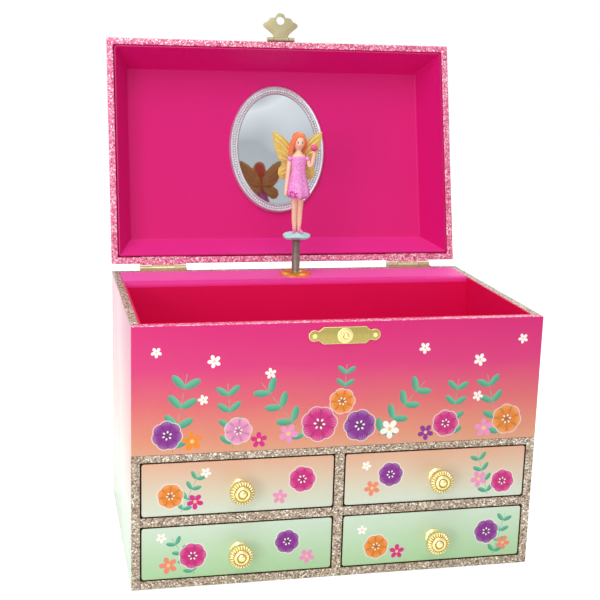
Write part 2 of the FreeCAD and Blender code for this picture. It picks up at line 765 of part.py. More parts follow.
def lid_inside():
    """The card lining of the lid, and the oval mirror in its frame."""
    outer = lining_block("lid_lining_outer", "lid_lining_depth + lining_thickness", "lining_thickness")
    inner = lining_block("lid_lining_inner", "lid_lining_depth", "0")
    node("lid_lining", cut("lid_lining_cut", outer, inner), LID)

    def lid_oval(name, inset, thickness, low):
        width = f"mirror_frame_width - 2 * ({inset})"
        length = f"mirror_frame_length - 2 * ({inset})"
        return oval(name, width, length, thickness, ("0", low, "mirror_z"), "rotation(vector(1; 1; 1); 240)")

    face = "lid_ceiling_y - mirror_frame_thickness"
    band = lid_oval("mirror_band", "0", "mirror_frame_thickness", face)
    opening = lid_oval("mirror_opening", "mirror_frame_band", f"mirror_frame_thickness + 2 * {OVERCUT}",
                       f"{face} - {OVERCUT}")
    node("mirror_frame", cut("mirror_frame_cut", band, opening), LID)
    node("mirror_plate", lid_oval("mirror_glass", "mirror_frame_band + mirror_fit", "mirror_thickness",
                                  "lid_ceiling_y - mirror_thickness"), LID)


def hinges():
    """Two butt hinges: leaves on the case and on the lid, pins, and all the nails."""
    bore = "hinge_pin_diameter + 2 * pin_clearance"
    case_leaves, lid_leaves, pins, case_nails, lid_nails = [], [], [], [], []
    for side, x in HINGE_SIDES.items():
        ends = (f"{x} - hinge_length / 2", f"{x} + hinge_length / 2")
        knuckles = {
            "a": (ends[0], f"{ends[0]} + end_knuckle"),
            "b": (f"{ends[1]} - end_knuckle", ends[1]),
        }
        spots = [f"{x} + {step}" for step in HINGE_NAIL_STEPS.values()]
        pins.append(rod(side + "_pin", "X", "hinge_pin_diameter", ends, ("hinge_y", "hinge_z")))
        level = ("body_height", "body_height + hinge_leaf_thickness")
        across = ("hinge_y - hinge_leaf_width", "hinge_y - hinge_arm")
        pieces = [box(side + "_case_leaf", ends, across, level)]
        for name, span in knuckles.items():
            pieces.append(box(f"{side}_case_web_{name}", span, ("hinge_y - hinge_arm", "hinge_y"), level))
            pieces.append(rod(f"{side}_case_knuckle_{name}", "X", "hinge_knuckle_diameter", span,
                              ("hinge_y", "hinge_z")))
        top = "body_height + hinge_leaf_thickness"
        holes = [nail_hole(side + "_case_leaf_hole", "Z", -1, top, (spot, "nail_y")) for spot in spots]
        case_nails += [nail(side + "_case_nail", "Z", -1, top, (spot, "nail_y")) for spot in spots]
        through = rod(side + "_case_bore", "X", bore, ends, ("hinge_y", "hinge_z"))
        whole = join(side + "_case_leaf_whole", *pieces)
        case_leaves.append(cut(side + "_case_leaf_cut", whole, through, *holes))

        middle = (f"{x} - hinge_middle_knuckle / 2", f"{x} + hinge_middle_knuckle / 2")
        level = ("rim_y - hinge_leaf_thickness", "rim_y")
        whole = join(
            side + "_lid_leaf_whole",
            box(side + "_lid_leaf", ends, level, ("hinge_arm", "hinge_leaf_width")),
            box(side + "_lid_web", middle, level, ("0", "hinge_arm")),
            rod(side + "_lid_knuckle", "X", "hinge_knuckle_diameter", middle, ("0", "0")),
        )
        bottom = "rim_y - hinge_leaf_thickness"
        spots_z = "rear_z + lid_wall / 2"
        holes = [nail_hole(side + "_lid_leaf_hole", "Y", 1, bottom, (spot, spots_z)) for spot in spots]
        lid_nails += [nail(side + "_lid_nail", "Y", 1, bottom, (spot, spots_z)) for spot in spots]
        through = rod(side + "_lid_bore", "X", bore, middle, ("0", "0"))
        lid_leaves.append(cut(side + "_lid_leaf_cut", whole, through, *holes))
    for side, x in LATCH_NAILS.items():
        tip = "latch_plate_thickness"
        case_nails.append(nail(side + "_keeper_nail", "Z", -1, tip, (x, "0"), True, KEEPER))
        lid_nails.append(nail(side + "_hasp_nail", "Z", -1, tip, (x, "0"), True, HASP_PLATE))
    node("hinge_case_leaves", group("case_leaves", *case_leaves))
    node("hinge_pins", group("pins", *pins))
    node("case_nails", group("case_nails_group", *case_nails))
    node("hinge_lid_leaves", group("lid_leaves", *lid_leaves), LID)
    node("lid_nails", group("lid_nails_group", *lid_nails), LID)


def latch_plate(name, frame):
    """A shouldered plate with a round lobe at each end, on the face of its frame."""
    depth = ("0", "latch_plate_thickness")
    pieces = [
        box(name + "_middle", ("0 - keeper_body_width / 2", "keeper_body_width / 2"),
            ("0 - keeper_height / 2", "keeper_height / 2"), depth, frame),
        box(name + "_bar", ("0 - keeper_lobe_x", "keeper_lobe_x"),
            ("0 - keeper_lobe_diameter * 0.3", "keeper_lobe_diameter * 0.3"), depth, frame),
    ]
    for side, x in LATCH_NAILS.items():
        pieces.append(rod(f"{name}_{side}_lobe", "Z", "keeper_lobe_diameter", depth, (x, "0"), frame))
    return pieces


def latch():
    """Keeper plate and stud on the front, hasp plate, pin and fan-shaped tongue on the lid."""
    plate = join("keeper_whole", *latch_plate("keeper", KEEPER))
    node("keeper_plate", cut("keeper_cut", plate, stud_hole("keeper"), *latch_holes("keeper", KEEPER)))
    face = "latch_plate_thickness"
    node("keeper_stud", join(
        "stud",
        rod("stud_shank", "Z", "stud_shank_diameter", ("0 - stud_grip", face), ("0", "0"), KEEPER),
        rod("stud_base", "Z", "stud_base_diameter", (face, f"{face} + stud_base_thickness"),
            ("0", "0"), KEEPER),
        cone("stud_boss", "Z", ("stud_diameter", "stud_tip_diameter"), (face, f"{face} + stud_length"),
             ("0", "0"), KEEPER),
    ))

    bore = "hasp_pin_diameter + 2 * pin_clearance"
    inner = "tongue_neck_width / 2 + knuckle_gap"
    outer = f"{inner} + hasp_end_knuckle"
    axle = ("hasp_pin_rise", "hasp_pin_standoff")
    pieces = latch_plate("hasp", HASP_PLATE)
    for side, span in (("left", (f"0 - ({outer})", f"0 - ({inner})")), ("right", (inner, outer))):
        pieces.append(rod(f"hasp_{side}_knuckle", "X", "hasp_knuckle_diameter", span, axle, HASP_WALL))
        pieces.append(box(f"hasp_{side}_web", span, ("hasp_pin_rise", "hasp_plate_rise - keeper_height / 4"),
                          ("0", "hasp_pin_standoff"), HASP_WALL))
    through = rod("hasp_bore", "X", bore, (f"0 - ({outer})", outer), axle, HASP_WALL)
    holes = latch_holes("hasp", HASP_PLATE)
    node("hasp_plate", cut("hasp_cut", join("hasp_whole", *pieces), through, *holes), LID)
    pin = rod("hasp_axle", "X", "hasp_pin_diameter", (f"0 - ({outer})", outer), axle, HASP_WALL)
    node("hasp_pin", pin, LID)

    half = "tongue_neck_width / 2"
    spots = [
        (f"tongue_fan_radius * sin({step} * tongue_lobe_step)",
         f"tongue_fan_centre + tongue_fan_radius * cos({step} * tongue_lobe_step)")
        for step in (-2, -1, 0, 1, 2)
    ]
    neck = "hasp_knuckle_diameter / 2 + 2 * knuckle_gap"
    fan = flat("tongue_fan", "XZ_Plane", [
        (f"0 - {half}", "0"),
        (f"0 - {half}", neck),
        *spots,
        (half, neck),
        (half, "0"),
    ], "tongue_thickness")
    doc.getObject("tongue_fan_pad").Midplane = True
    place(fan, ("0", "0", "0"), within=HASP_PIN)
    thickness = ("0 - tongue_thickness / 2", "tongue_thickness / 2")
    knuckle = rod("tongue_knuckle", "X", "hasp_knuckle_diameter", (f"0 - {half}", half), ("0", "0"), HASP_PIN)
    pieces = [fan, knuckle]
    for index, spot in enumerate(spots):
        pieces.append(rod(f"tongue_lobe_{index}", "Y", "2 * tongue_lobe_radius", thickness, spot, HASP_PIN))
    past = (f"0 - tongue_thickness / 2 - {OVERCUT}", f"tongue_thickness / 2 + {OVERCUT}")
    eye = rod("tongue_eye", "Y", "tongue_hole_diameter", past, ("0", "tongue_hole_z"), HASP_PIN)
    through = rod("tongue_bore", "X", bore, (f"0 - {half}", half), ("0", "0"), HASP_PIN)
    node("hasp_tongue", cut("tongue_cut", join("tongue_whole", *pieces), eye, through), LID)


def movement_frame():
    """Bedplate with its lugs, the comb, and the screws that hold them."""
    lug_y = ("spindle_y - lug_reach", "back_inner_y")
    plate = join(
        "bed_whole",
        box("bed", ("0 - bedplate_width / 2", "bedplate_width / 2"), ("bed_y", "back_inner_y"),
            ("bed_z", "bed_top_z")),
        box("foot_lug", ("0 - lug_reach", "governor_x + lug_reach"), lug_y, ("bed_z", "lug_top_z")),
        box("governor_lug", ("governor_x - lug_reach", "governor_x + lug_reach"), lug_y,
            ("governor_lug_z", "governor_lug_z + lug_thickness")),
        box("comb_post", ("0 - comb_back_x", "comb_bar_width - comb_back_x"),
            ("comb_y + comb_thickness", "back_inner_y"), ("cylinder_z", "cylinder_top_z")),
    )
    foot = (f"bed_z - {OVERCUT}", f"lug_top_z + {OVERCUT}")
    holes = [
        rod("bed_spindle_hole", "Z", "spindle_diameter + 2 * bearing_clearance", foot, ("0", "spindle_y")),
        rod("bed_governor_hole", "Z", "governor_arbor_diameter + 2 * bearing_clearance",
            (f"bed_z - {OVERCUT}", f"governor_lug_z + lug_thickness + {OVERCUT}"),
            ("governor_x", "spindle_y")),
        rod("bed_arbor_hole", "Y", "arbor_diameter + 2 * bearing_clearance",
            (f"bed_y - {OVERCUT}", f"back_inner_y + {OVERCUT}"), ("0", "barrel_z")),
    ]
    holes += [screw_hole(f"bed_{name}_hole", "bed_y", spot) for name, spot in BED_SCREWS.items()]
    holes += [screw_hole(f"post_{name}_hole", "comb_y", spot) for name, spot in COMB_SCREWS.items()]
    node("movement_bedplate", cut("bed_cut", plate, *holes))

    comb = box("comb", ("0 - comb_back_x", "0 - comb_tip_x"), ("comb_y", "comb_y + comb_thickness"),
               ("cylinder_z", "cylinder_top_z"))
    slots = [screw_hole(f"comb_{name}_hole", "comb_y", spot) for name, spot in COMB_SCREWS.items()]
    for index in range(1, int(number("comb_teeth"))):
        middle = f"cylinder_z + {index} * cylinder_length / comb_teeth"
        slots.append(box(
            f"comb_slot_{index}", ("comb_bar_width - comb_back_x", f"{OVERCUT} - comb_tip_x"),
            (f"comb_y - {OVERCUT}", f"comb_y + comb_thickness + {OVERCUT}"),
            (f"{middle} - comb_slot / 2", f"{middle} + comb_slot / 2")))
    node("comb", cut("comb_cut", comb, *slots))
    node("movement_screws", group(
        "screws",
        *[screw(f"bed_{name}_screw", "bed_y", spot) for name, spot in BED_SCREWS.items()],
        *[screw(f"comb_{name}_screw", "comb_y", spot) for name, spot in COMB_SCREWS.items()],
    ))


def spindle_train():
    """Spindle with its pinion, the pinned cylinder and its wheel, and the governor."""
    middle = ("0", "spindle_y")
    pinion = toothed("pinion", "crown_module", "pinion_teeth", "pinion_length")
    place(pinion, (*middle, "pinion_z"), "rotation(vector(0; 0; 1); 90)")
    shaft = rod("shaft", "Z", "spindle_diameter", ("bed_z", "collar_top_z + spindle_top"), middle)
    node("spindle", join("spindle_whole", shaft, pinion))

    wheel = toothed("wheel", "wheel_module", "wheel_teeth", "wheel_thickness")
    place(wheel, (*middle, "wheel_z"), "rotation(vector(0; 0; 1); 180 / wheel_teeth)")
    drum = rod("drum", "Z", "cylinder_diameter", ("cylinder_z", "cylinder_top_z"), middle)
    pins = []
    for index in range(int(number("comb_teeth"))):
        pin = doc.addObject("Part::Cylinder", f"tune_pin_{index}")
        pin.setExpression("Radius", bound("cylinder_pin_diameter / 2"))
        pin.setExpression("Height", bound("cylinder_diameter / 2 + cylinder_pin_height"))
        height = f"cylinder_z + ({index} + 0.5) * cylinder_length / comb_teeth"
        turn = f"rotation(vector(0; 0; 1); 95 + {index} * cylinder_pin_angle) * {TURNS['X']}"
        pins.append(place(pin, (*middle, height), turn))
    bore = rod("drum_bore", "Z", "spindle_diameter + 2 * screw_clearance",
               (f"wheel_z - {OVERCUT}", f"cylinder_top_z + {OVERCUT}"), middle)
    node("pinned_cylinder", cut("drum_cut", join("drum_whole", wheel, drum, *pins), bore))

    side = ("governor_x", "spindle_y")
    pinion = toothed("governor_pinion", "wheel_module", "governor_teeth", "governor_pinion_length")
    place(pinion, (*side, "wheel_z"))
    arbor = rod("governor_arbor", "Z", "governor_arbor_diameter",
                ("bed_z", "governor_lug_z + lug_thickness"), side)
    top = "governor_lug_z - lug_thickness"
    fan = box("fan", ("governor_x - fan_radius", "governor_x + fan_radius"),
              ("spindle_y - fan_thickness / 2", "spindle_y + fan_thickness / 2"),
              (f"{top} - fan_height", top))
    node("governor", join("governor_whole", pinion, arbor, fan))


def mainspring_band():
    """A flat spiral of half circles, worked out from the barrel's inside towards its arbor."""
    pitch = number("mainspring_pitch")
    half = number("mainspring_thickness") / 2
    outer = number("barrel_diameter / 2 - barrel_wall - mainspring_pitch / 2 - mainspring_thickness")
    width = number("barrel_depth - barrel_wall - running_gap")
    edges = []
    ends = {}
    for side in (half, -half):
        start = None
        for step in range(2 * int(number("mainspring_turns"))):
            centre = Vector(0 if step % 2 == 0 else -pitch / 2, 0, 0)
            radius = outer - step * pitch / 2 + side
            facing = 1 if step % 2 == 0 else -1
            points = [centre + Vector(facing * radius, 0, 0), centre + Vector(0, facing * radius, 0),
                      centre - Vector(facing * radius, 0, 0)]
            start = start or points[0]
            edges.append(Part.Arc(*points).toShape())
        ends[side] = (start, points[2])
    edges += [Part.makeLine(ends[half][end], ends[-half][end]) for end in (0, 1)]
    face = Part.Face(Part.Wire(Part.__sortEdges__(edges)))
    return face.extrude(Vector(0, 0, width))


def drive():
    """Spring barrel with its crown of pegs, the mainspring, the winding arbor and its key."""
    bore = "arbor_diameter / 2 + bearing_clearance"
    barrel = turned("barrel", [
        (bore, "0"),
        ("barrel_diameter / 2", "0"),
        ("barrel_diameter / 2", "barrel_depth"),
        ("barrel_diameter / 2 - barrel_wall", "barrel_depth"),
        ("barrel_diameter / 2 - barrel_wall", "barrel_wall"),
        (bore, "barrel_wall"),
    ])
    reach = "crown_peg_length / 2"
    half = "crown_peg_width / 2"
    outline_points = [
        (f"crown_radius - {reach}", f"0 - {half}"),
        (f"crown_radius + {reach}", f"0 - {half}"),
        (f"crown_radius + {reach}", half),
        (f"crown_radius - {reach}", half),
    ]
    sketch = outline(barrel, "peg_outline", "XY_Plane", outline_points)
    peg = barrel.newObject("PartDesign::Pad", "peg")
    peg.Profile = sketch
    peg.Reversed = True
    peg.setExpression("Length", bound("crown_peg_depth"))
    ring_of(barrel, "pegs", peg, sketch, "crown_teeth")
    node("spring_barrel", place(barrel, ("0", "barrel_y", "barrel_z"), TURNS["Y"]))

    spring = doc.addObject("Part::Feature", "mainspring")
    spring.Shape = mainspring_band()
    spot = ("0", "barrel_y + barrel_wall + running_gap / 2", "barrel_z")
    node("mainspring", place(spring, spot, TURNS["Y"]))

    middle = ("0", "barrel_z")
    head = rod("arbor_head", "Y", "arbor_head_diameter",
               ("arbor_y", "arbor_y + arbor_head_thickness"), middle)
    bar = rod("arbor_bar", "Y", "arbor_diameter", ("arbor_y", "key_y + key_boss_length * 0.75"), middle)
    node("winding_arbor", join("arbor", head, bar))
    boss = rod("key_boss", "Y", "key_boss_diameter", ("key_y", "key_y + key_boss_length"), middle)
    low = "key_y + key_boss_length * 0.4"
    thick = ("barrel_z - key_wing_thickness / 2", "barrel_z + key_wing_thickness / 2")
    lobe_x = "(key_span - key_wing_height) / 2"
    lobe_y = f"{low} + key_wing_height / 2"
    deep = (f"{low} + key_wing_height / 4", f"{low} + key_wing_height * 0.75")
    wings = [box("key_web", (f"0 - {lobe_x}", lobe_x), deep, thick)]
    for side, x in (("left", f"0 - {lobe_x}"), ("right", lobe_x)):
        wings.append(rod(f"key_{side}_lobe", "Z", "key_wing_height", thick, (x, lobe_y)))
    socket = rod("key_socket", "Y", "arbor_diameter + 2 * screw_clearance",
                 (f"key_y - {OVERCUT}", "key_y + key_boss_length * 0.75 + screw_clearance"), middle)
    node("winding_key", cut("key_cut", join("key_whole", boss, *wings), socket))


def biarc(start, start_way, end, end_way):
    """Two arcs that leave one point and reach another along given directions, with their radii."""
    chord = end - start
    ways = start_way + end_way
    square = ways.dot(ways) - 4
    middle = -2 * chord.dot(ways)
    rest = chord.dot(chord)
    reach = (-middle - math.sqrt(middle * middle - 4 * square * rest)) / (2 * square)
    first = start + start_way * reach
    last = end - end_way * reach
    joint = (first + last) / 2
    arcs = []
    radii = []
    for tail, knee, tip in ((start, first, joint), (joint, last, end)):
        half_turn = (knee - tail).getAngle(tip - knee) / 2
        weight = math.cos(half_turn)
        top = (tail + knee * (2 * weight) + tip) / (2 + 2 * weight)
        arcs.append(Part.Arc(tail, top, tip).toShape())
        radii.append((knee - tail).Length / math.tan(half_turn))
    return arcs, radii


def stem_coil():
    """The stem's coil as one unbroken wire, straight and upright at both ends."""
    wire = number("stem_wire")
    radius = (number("stem_diameter") - wire) / 2
    pitch = number("stem_pitch")
    low = number("body_height + collar_thickness / 2 + stem_end_gap")
    high = number("figure_z - stem_end_gap")
    lead = 0.25
    rise = 1.6 * wire
    turns = (high - low - 2 * (wire + rise)) / pitch
    quarters = max(4, int(4 * turns))
    climb = (high - low - 2 * (wire + rise)) / quarters

    def on_coil(quarter):
        angle = quarter * math.pi / 2
        return Vector(radius * math.cos(angle), radius * math.sin(angle), low + wire + rise + climb * quarter)

    def along_coil(quarter):
        angle = quarter * math.pi / 2
        way = Vector(-radius * math.sin(angle), radius * math.cos(angle), climb / (math.pi / 2))
        return way.normalize()

    up = Vector(0, 0, 1)
    first = on_coil(-4 * lead * 0.6)
    foot = Vector(first.x, first.y, low + wire)
    last = on_coil(quarters + 4 * lead * 0.6)
    head = Vector(last.x, last.y, high - wire)
    stops = [(foot, up)] + [(on_coil(q), along_coil(q)) for q in range(quarters + 1)] + [(head, up)]
    edges = [Part.makeLine(Vector(foot.x, foot.y, low), foot)]
    tightest = []
    for (start, start_way), (end, end_way) in zip(stops, stops[1:]):
        arcs, radii = biarc(start, start_way, end, end_way)
        edges += arcs
        tightest += radii
    edges.append(Part.makeLine(head, Vector(head.x, head.y, high)))
    path = Part.Wire(edges)
    section = Part.Wire(Part.makeCircle(wire / 2, Vector(foot.x, foot.y, low), up))
    coil = path.makePipeShell([section], True, False)
    points = path.discretize(Distance=wire / 3)
    near = 3 * wire
    gaps = [
        (a - b).Length - wire
        for i, a in enumerate(points) for j, b in enumerate(points[i + 1:], start=i + 1)
        if (j - i) * wire / 3 > near
    ]
    print(f"stem coil: {quarters / 4:.2f} turns, least gap {min(gaps):.2f} mm, "
          f"tightest bend {min(tightest):.2f} mm, "
          f"volume {coil.Volume:.1f} of {math.pi * wire ** 2 / 4 * path.Length:.1f} mm3")
    return coil


def limb(name, diameters, start, end):
    """A round limb that tapers between two points of the figurine."""
    item = doc.addObject("Part::Cone", name)
    dx, dy, dz = (f"({high} - ({low}))" for low, high in zip(start, end))
    length = f"sqrt({dx} ^ 2 + {dy} ^ 2 + {dz} ^ 2)"
    item.setExpression("Radius1", bound(f"({diameters[0]}) / 2"))
    item.setExpression("Radius2", bound(f"({diameters[1]}) / 2"))
    item.setExpression("Height", bound(length))
    turn = f"rotation(vector(0 - {dy}; {dx}; 0); acos({dz} / {length}))"
    return place(item, start, turn)


FIGURE = "placement(vector(0; spindle_y; figure_z); rotation(vector(0; 0; 1); 0))"

# Each pair of wings: centre out and up from the root, breadth and length, in wing spans, and lean
WINGS = (
    ("upper", 0.26, 0.19, 0.28, 0.66, 38),
    ("lower", 0.21, -0.13, 0.3, 0.42, 120),
)


def figurine():
    """The coil stem, the moulded figurine on its base, and its wings."""
    stem = doc.addObject("Part::Feature", "stem")
    stem.Shape = stem_coil()
    node("stem_spring", place(stem, ("0", "spindle_y", "0")))

    axis = ("0", "0")
    top = "shoulder_height"
    pieces = [
        cone("base", "Z", ("figure_base_diameter", "figure_base_diameter - 2"),
             ("0", "figure_base_thickness"), axis),
        cone("skirt", "Z", ("2 * hem_radius", "2 * waist_radius"), ("hem_height", "waist_height"), axis),
        cone("bodice", "Z", ("2 * waist_radius", "2 * shoulder_radius"),
             ("waist_height", "shoulder_height"), axis),
        rod("neck", "Z", "2 * neck_radius", ("shoulder_height - neck_radius", "head_height"), axis),
        oval_ball("shoulders", ("shoulder_radius", "shoulder_radius * 0.75", "neck_radius"), ("0", "0", top)),
        oval_ball("head", ("head_radius * 0.95", "head_radius", "head_radius * 1.08"),
                  ("0", "0", "head_height")),
        oval_ball("hair", ("head_radius * 1.2", "head_radius * 1.1", "figure_height - head_height"),
                  ("0", "head_radius * 0.3", "head_height")),
        oval_ball("hair_back", ("head_radius * 1.1", "head_radius * 0.5", "(head_height - waist_height) / 2"),
                  ("0", "shoulder_radius * 0.7", "(head_height + waist_height) / 2")),
    ]
    for side, sign in (("left", -1), ("right", 1)):
        foot = (f"{sign} * leg_radius * 0.85", "0", "figure_base_thickness - 1")
        knee = (f"{sign} * leg_radius * 0.95", "0", "hem_height + 2")
        pieces.append(limb(f"{side}_leg", ("leg_radius * 1.5", "leg_radius * 2.1"), foot, knee))
        pieces.append(oval_ball(f"{side}_shoe", ("leg_radius * 0.85", "leg_radius * 1.5", "leg_radius * 0.8"),
                                (foot[0], "0 - leg_radius * 0.6", "figure_base_thickness + leg_radius * 0.4")))
        pieces.append(oval_ball(f"{side}_sleeve", ("arm_radius * 1.9", "arm_radius * 1.7", "arm_radius * 1.7"),
                                (f"{sign} * (shoulder_radius + arm_radius * 0.5)", "0", f"{top} - arm_radius")))
    shoulder = "shoulder_radius + arm_radius / 2"
    pieces.append(limb("lowered_arm", ("2 * arm_radius", "1.5 * arm_radius"),
                       (f"0 - ({shoulder})", "0", f"{top} - arm_radius"),
                       ("0 - hem_radius * 0.95", "0 - arm_radius", "(hem_height + waist_height) / 2 + 2")))
    elbow = (f"{shoulder} + 3.4 * arm_radius", "0 - arm_radius", "waist_height + 2 * arm_radius")
    hand = (f"{shoulder} + 3.7 * arm_radius", "0 - arm_radius", "shoulder_height + 2.6 * arm_radius")
    pieces.append(limb("upper_arm", ("2 * arm_radius", "2 * arm_radius"),
                       (shoulder, "0", f"{top} - arm_radius"), elbow))
    pieces.append(oval_ball("elbow", ("arm_radius", "arm_radius", "arm_radius"), elbow))
    pieces.append(limb("forearm", ("2 * arm_radius", "1.6 * arm_radius"), elbow, hand))
    pieces.append(oval_ball("ball", ("ball_radius", "ball_radius", "ball_radius"),
                            (hand[0], hand[1], "shoulder_height + 2.2 * arm_radius + ball_radius")))
    node("figurine", join("figurine_whole", *pieces), FIGURE)

    back = "shoulder_radius * 0.7 + head_radius * 0.5 - wing_thickness / 3"
    root_z = "shoulder_height - 2 * arm_radius"
    stand = "rotation(vector(1; 0; 0); 90)"
    feathers = [oval("wing_root", "waist_radius * 2", "waist_radius * 3", "wing_thickness",
                     ("0", back, root_z), f"{stand} * rotation(vector(0; 0; 1); 90)")]
    for name, reach, rise, breadth, length, lean in WINGS:
        for side, sign in (("left", -1), ("right", 1)):
            at = (f"{sign} * wing_span * {reach}", back, f"{root_z} + wing_span * {rise}")
            turn = f"{stand} * rotation(vector(0; 0; 1); 90 - {sign * lean})"
            feathers.append(oval(f"{side}_{name}_wing", f"wing_span * {breadth}", f"wing_span * {length}",
                                 "wing_thickness", at, turn))
    node("figurine_wings", join("wings_whole", *feathers), FIGURE)


def check():
    """Stop before anything is written if an object failed or a shape is broken."""
    doc.recompute()
    failed = [o.Name for o in doc.Objects if {"Invalid", "Error"} & set(o.State)]
    broken = [
        label for label, item in nodes.items()
        if item.Shape.isNull() or not item.Shape.isValid() or not item.Shape.Solids
    ]
    if failed or broken:
        raise SystemExit(f"failed objects {failed}, broken shapes {broken}")


case_boards()
tray_pieces()
for height, floor in (("upper", "upper_bay_z"), ("lower", "board")):
    for hand, direction in (("left", -1), ("right", 1)):
        drawer(f"{height}_{hand}", direction, floor)
lid_boards()
lid_inside()
hinges()
latch()
movement_frame()
spindle_train()
drive()
figurine()
check()

os.makedirs("parts", exist_ok=True)
for label, item in nodes.items():
    item.Shape.exportStep(f"parts/{label}.step")
print(f"{len(nodes)} nodes written")
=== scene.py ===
import math

import bpy
from mathutils import Matrix, Vector


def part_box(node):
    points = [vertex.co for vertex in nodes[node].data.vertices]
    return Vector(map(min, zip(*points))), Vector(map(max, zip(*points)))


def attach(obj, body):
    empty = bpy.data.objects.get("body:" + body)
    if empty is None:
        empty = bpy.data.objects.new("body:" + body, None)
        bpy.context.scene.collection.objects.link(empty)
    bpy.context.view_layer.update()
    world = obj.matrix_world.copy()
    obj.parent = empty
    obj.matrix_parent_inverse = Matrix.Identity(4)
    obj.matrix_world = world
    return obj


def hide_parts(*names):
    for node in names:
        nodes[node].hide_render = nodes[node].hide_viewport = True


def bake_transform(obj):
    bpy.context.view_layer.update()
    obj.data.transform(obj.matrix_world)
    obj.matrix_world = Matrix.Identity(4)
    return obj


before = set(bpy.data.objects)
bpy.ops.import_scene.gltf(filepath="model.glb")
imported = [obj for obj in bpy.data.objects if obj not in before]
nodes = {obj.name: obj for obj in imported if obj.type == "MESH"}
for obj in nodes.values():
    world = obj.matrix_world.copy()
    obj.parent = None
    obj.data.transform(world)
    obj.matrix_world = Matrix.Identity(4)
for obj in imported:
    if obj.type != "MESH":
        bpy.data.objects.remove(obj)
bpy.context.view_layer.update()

# Glitter edging: a paper tape with crushed foil flakes set in clear varnish. It is glued over the raw
# edges of the case boards in champagne, and over the rim of the lid in pink.
MM = 0.001


def tint(red, green, blue):
    """A colour as read off a screen, in the linear light that a shader takes."""
    levels = [level / 255 for level in (red, green, blue)]
    return (*[v / 12.92 if v <= 0.04045 else ((v + 0.055) / 1.055) ** 2.4 for v in levels], 1)


class Value:
    """A number that varies over a surface, on which plain arithmetic can be written."""

    def __init__(self, finish, socket):
        self.finish = finish
        self.socket = socket

    def sum(self, operation, *others):
        return self.finish.math(operation, self, *others)

    def __add__(self, other):
        return self.sum("ADD", other)

    __radd__ = __add__

    def __sub__(self, other):
        return self.sum("SUBTRACT", other)

    def __rsub__(self, other):
        return self.finish.math("SUBTRACT", other, self)

    def __mul__(self, other):
        return self.sum("MULTIPLY", other)

    __rmul__ = __mul__

    def __truediv__(self, other):
        return self.sum("DIVIDE", other)

    def __pow__(self, other):
        return self.sum("POWER", other)

    def __gt__(self, other):
        return self.sum("GREATER_THAN", other)

    def __lt__(self, other):
        return self.sum("LESS_THAN", other)

    def __mod__(self, other):
        return self.sum("FLOORED_MODULO", other)

    def __abs__(self):
        return self.sum("ABSOLUTE")

    def kept(self):
        """The number held between 0 and 1."""
        return self.finish.node("ShaderNodeClamp", {}, {"Value": self})


class Finish:
    """A material with its shader, and one way to add any node to it."""

    def __init__(self, name, **look):
        self.material = bpy.data.materials.new(name)
        self.material.use_nodes = True
        self.tree = self.material.node_tree
        self.shader = self.tree.nodes["Principled BSDF"]
        self.set(**look)
        self.where = self.node("ShaderNodeTexCoord", {}, {}, "Object")

    def node(self, kind, settings, inputs, output=0):
        """Add a node, set it up, fill or link its sockets, and give one of its outputs."""
        made = self.tree.nodes.new(kind)
        for name, setting in settings.items():
            if name == "stops":
                while len(made.color_ramp.elements) < len(setting):
                    made.color_ramp.elements.new(0.5)
                for stop, (place, colour) in zip(made.color_ramp.elements, setting):
                    stop.position = place
                    stop.color = colour
            else:
                setattr(made, name, setting)
        for name, entry in inputs.items():
            if isinstance(entry, Value):
                self.tree.links.new(entry.socket, made.inputs[name])
            else:
                made.inputs[name].default_value = entry
        return Value(self, made.outputs[output])

    def math(self, operation, *terms):
        return self.node("ShaderNodeMath", {"operation": operation}, dict(enumerate(terms)))

    def mix(self, share, first, second, blend="MIX"):
        """Two colours mixed by a share of the second."""
        settings = {"data_type": "RGBA", "blend_type": blend}
        return self.node("ShaderNodeMix", settings, {0: share, 6: first, 7: second}, 2)

    def ramp(self, share, *stops):
        return self.node("ShaderNodeValToRGB", {"stops": stops}, {"Fac": share})

    def noise(self, grain, detail=3):
        """Cloudy variation between 0 and 1 whose features are a given number of millimetres across."""
        return self.node("ShaderNodeTexNoise", {}, {"Vector": self.where, "Scale": 1 / (grain * MM), "Detail": detail})

    def axes(self):
        """The three coordinates of a point, in millimetres."""
        split = [self.node("ShaderNodeSeparateXYZ", {}, {"Vector": self.where}, axis) for axis in "XYZ"]
        return [axis * 1000 for axis in split]

    def bump(self, height, depth):
        """Raise the surface by up to a depth in millimetres."""
        self.set(Normal=self.node("ShaderNodeBump", {}, {"Height": height, "Distance": depth * MM}))

    def set(self, **sockets):
        """Fill or link sockets of the shader, named with _ for a space."""
        for name, entry in sockets.items():
            socket = self.shader.inputs[name.replace("_", " ")]
            if isinstance(entry, Value):
                self.tree.links.new(entry.socket, socket)
            else:
                socket.default_value = entry


def glitter_paper(name, dark, middle, light, metal=None, tape_foot=0):
    """Flakes of under a millimetre, each with its own tone and tilt, over metal that is bare below a height."""
    finish = Finish(name, Coat_Weight=0.25, Coat_Roughness=0.15)
    flakes = {"Vector": finish.where, "Scale": 1 / (0.75 * MM)}
    shade = finish.node("ShaderNodeTexVoronoi", {}, flakes, "Color")
    tone = finish.node("ShaderNodeSeparateColor", {}, {"Color": shade}, "Red")
    tilt = finish.node("ShaderNodeSeparateColor", {}, {"Color": shade}, "Green")
    drift = finish.noise(5)
    colour = finish.ramp(
        tone * 0.75 + drift * 0.3, (0.2, dark), (0.42, middle), (0.66, middle), (0.88, light))
    shine = tilt > 0.72
    if metal:
        bare = finish.axes()[2] < tape_foot
        colour = finish.mix(bare, colour, metal)
        shine = (shine + bare).kept()
    finish.set(Base_Color=colour, Metallic=shine * 0.7, Roughness=0.62 - 0.4 * shine)
    finish.bump(tilt, 0.12)
    return finish.material


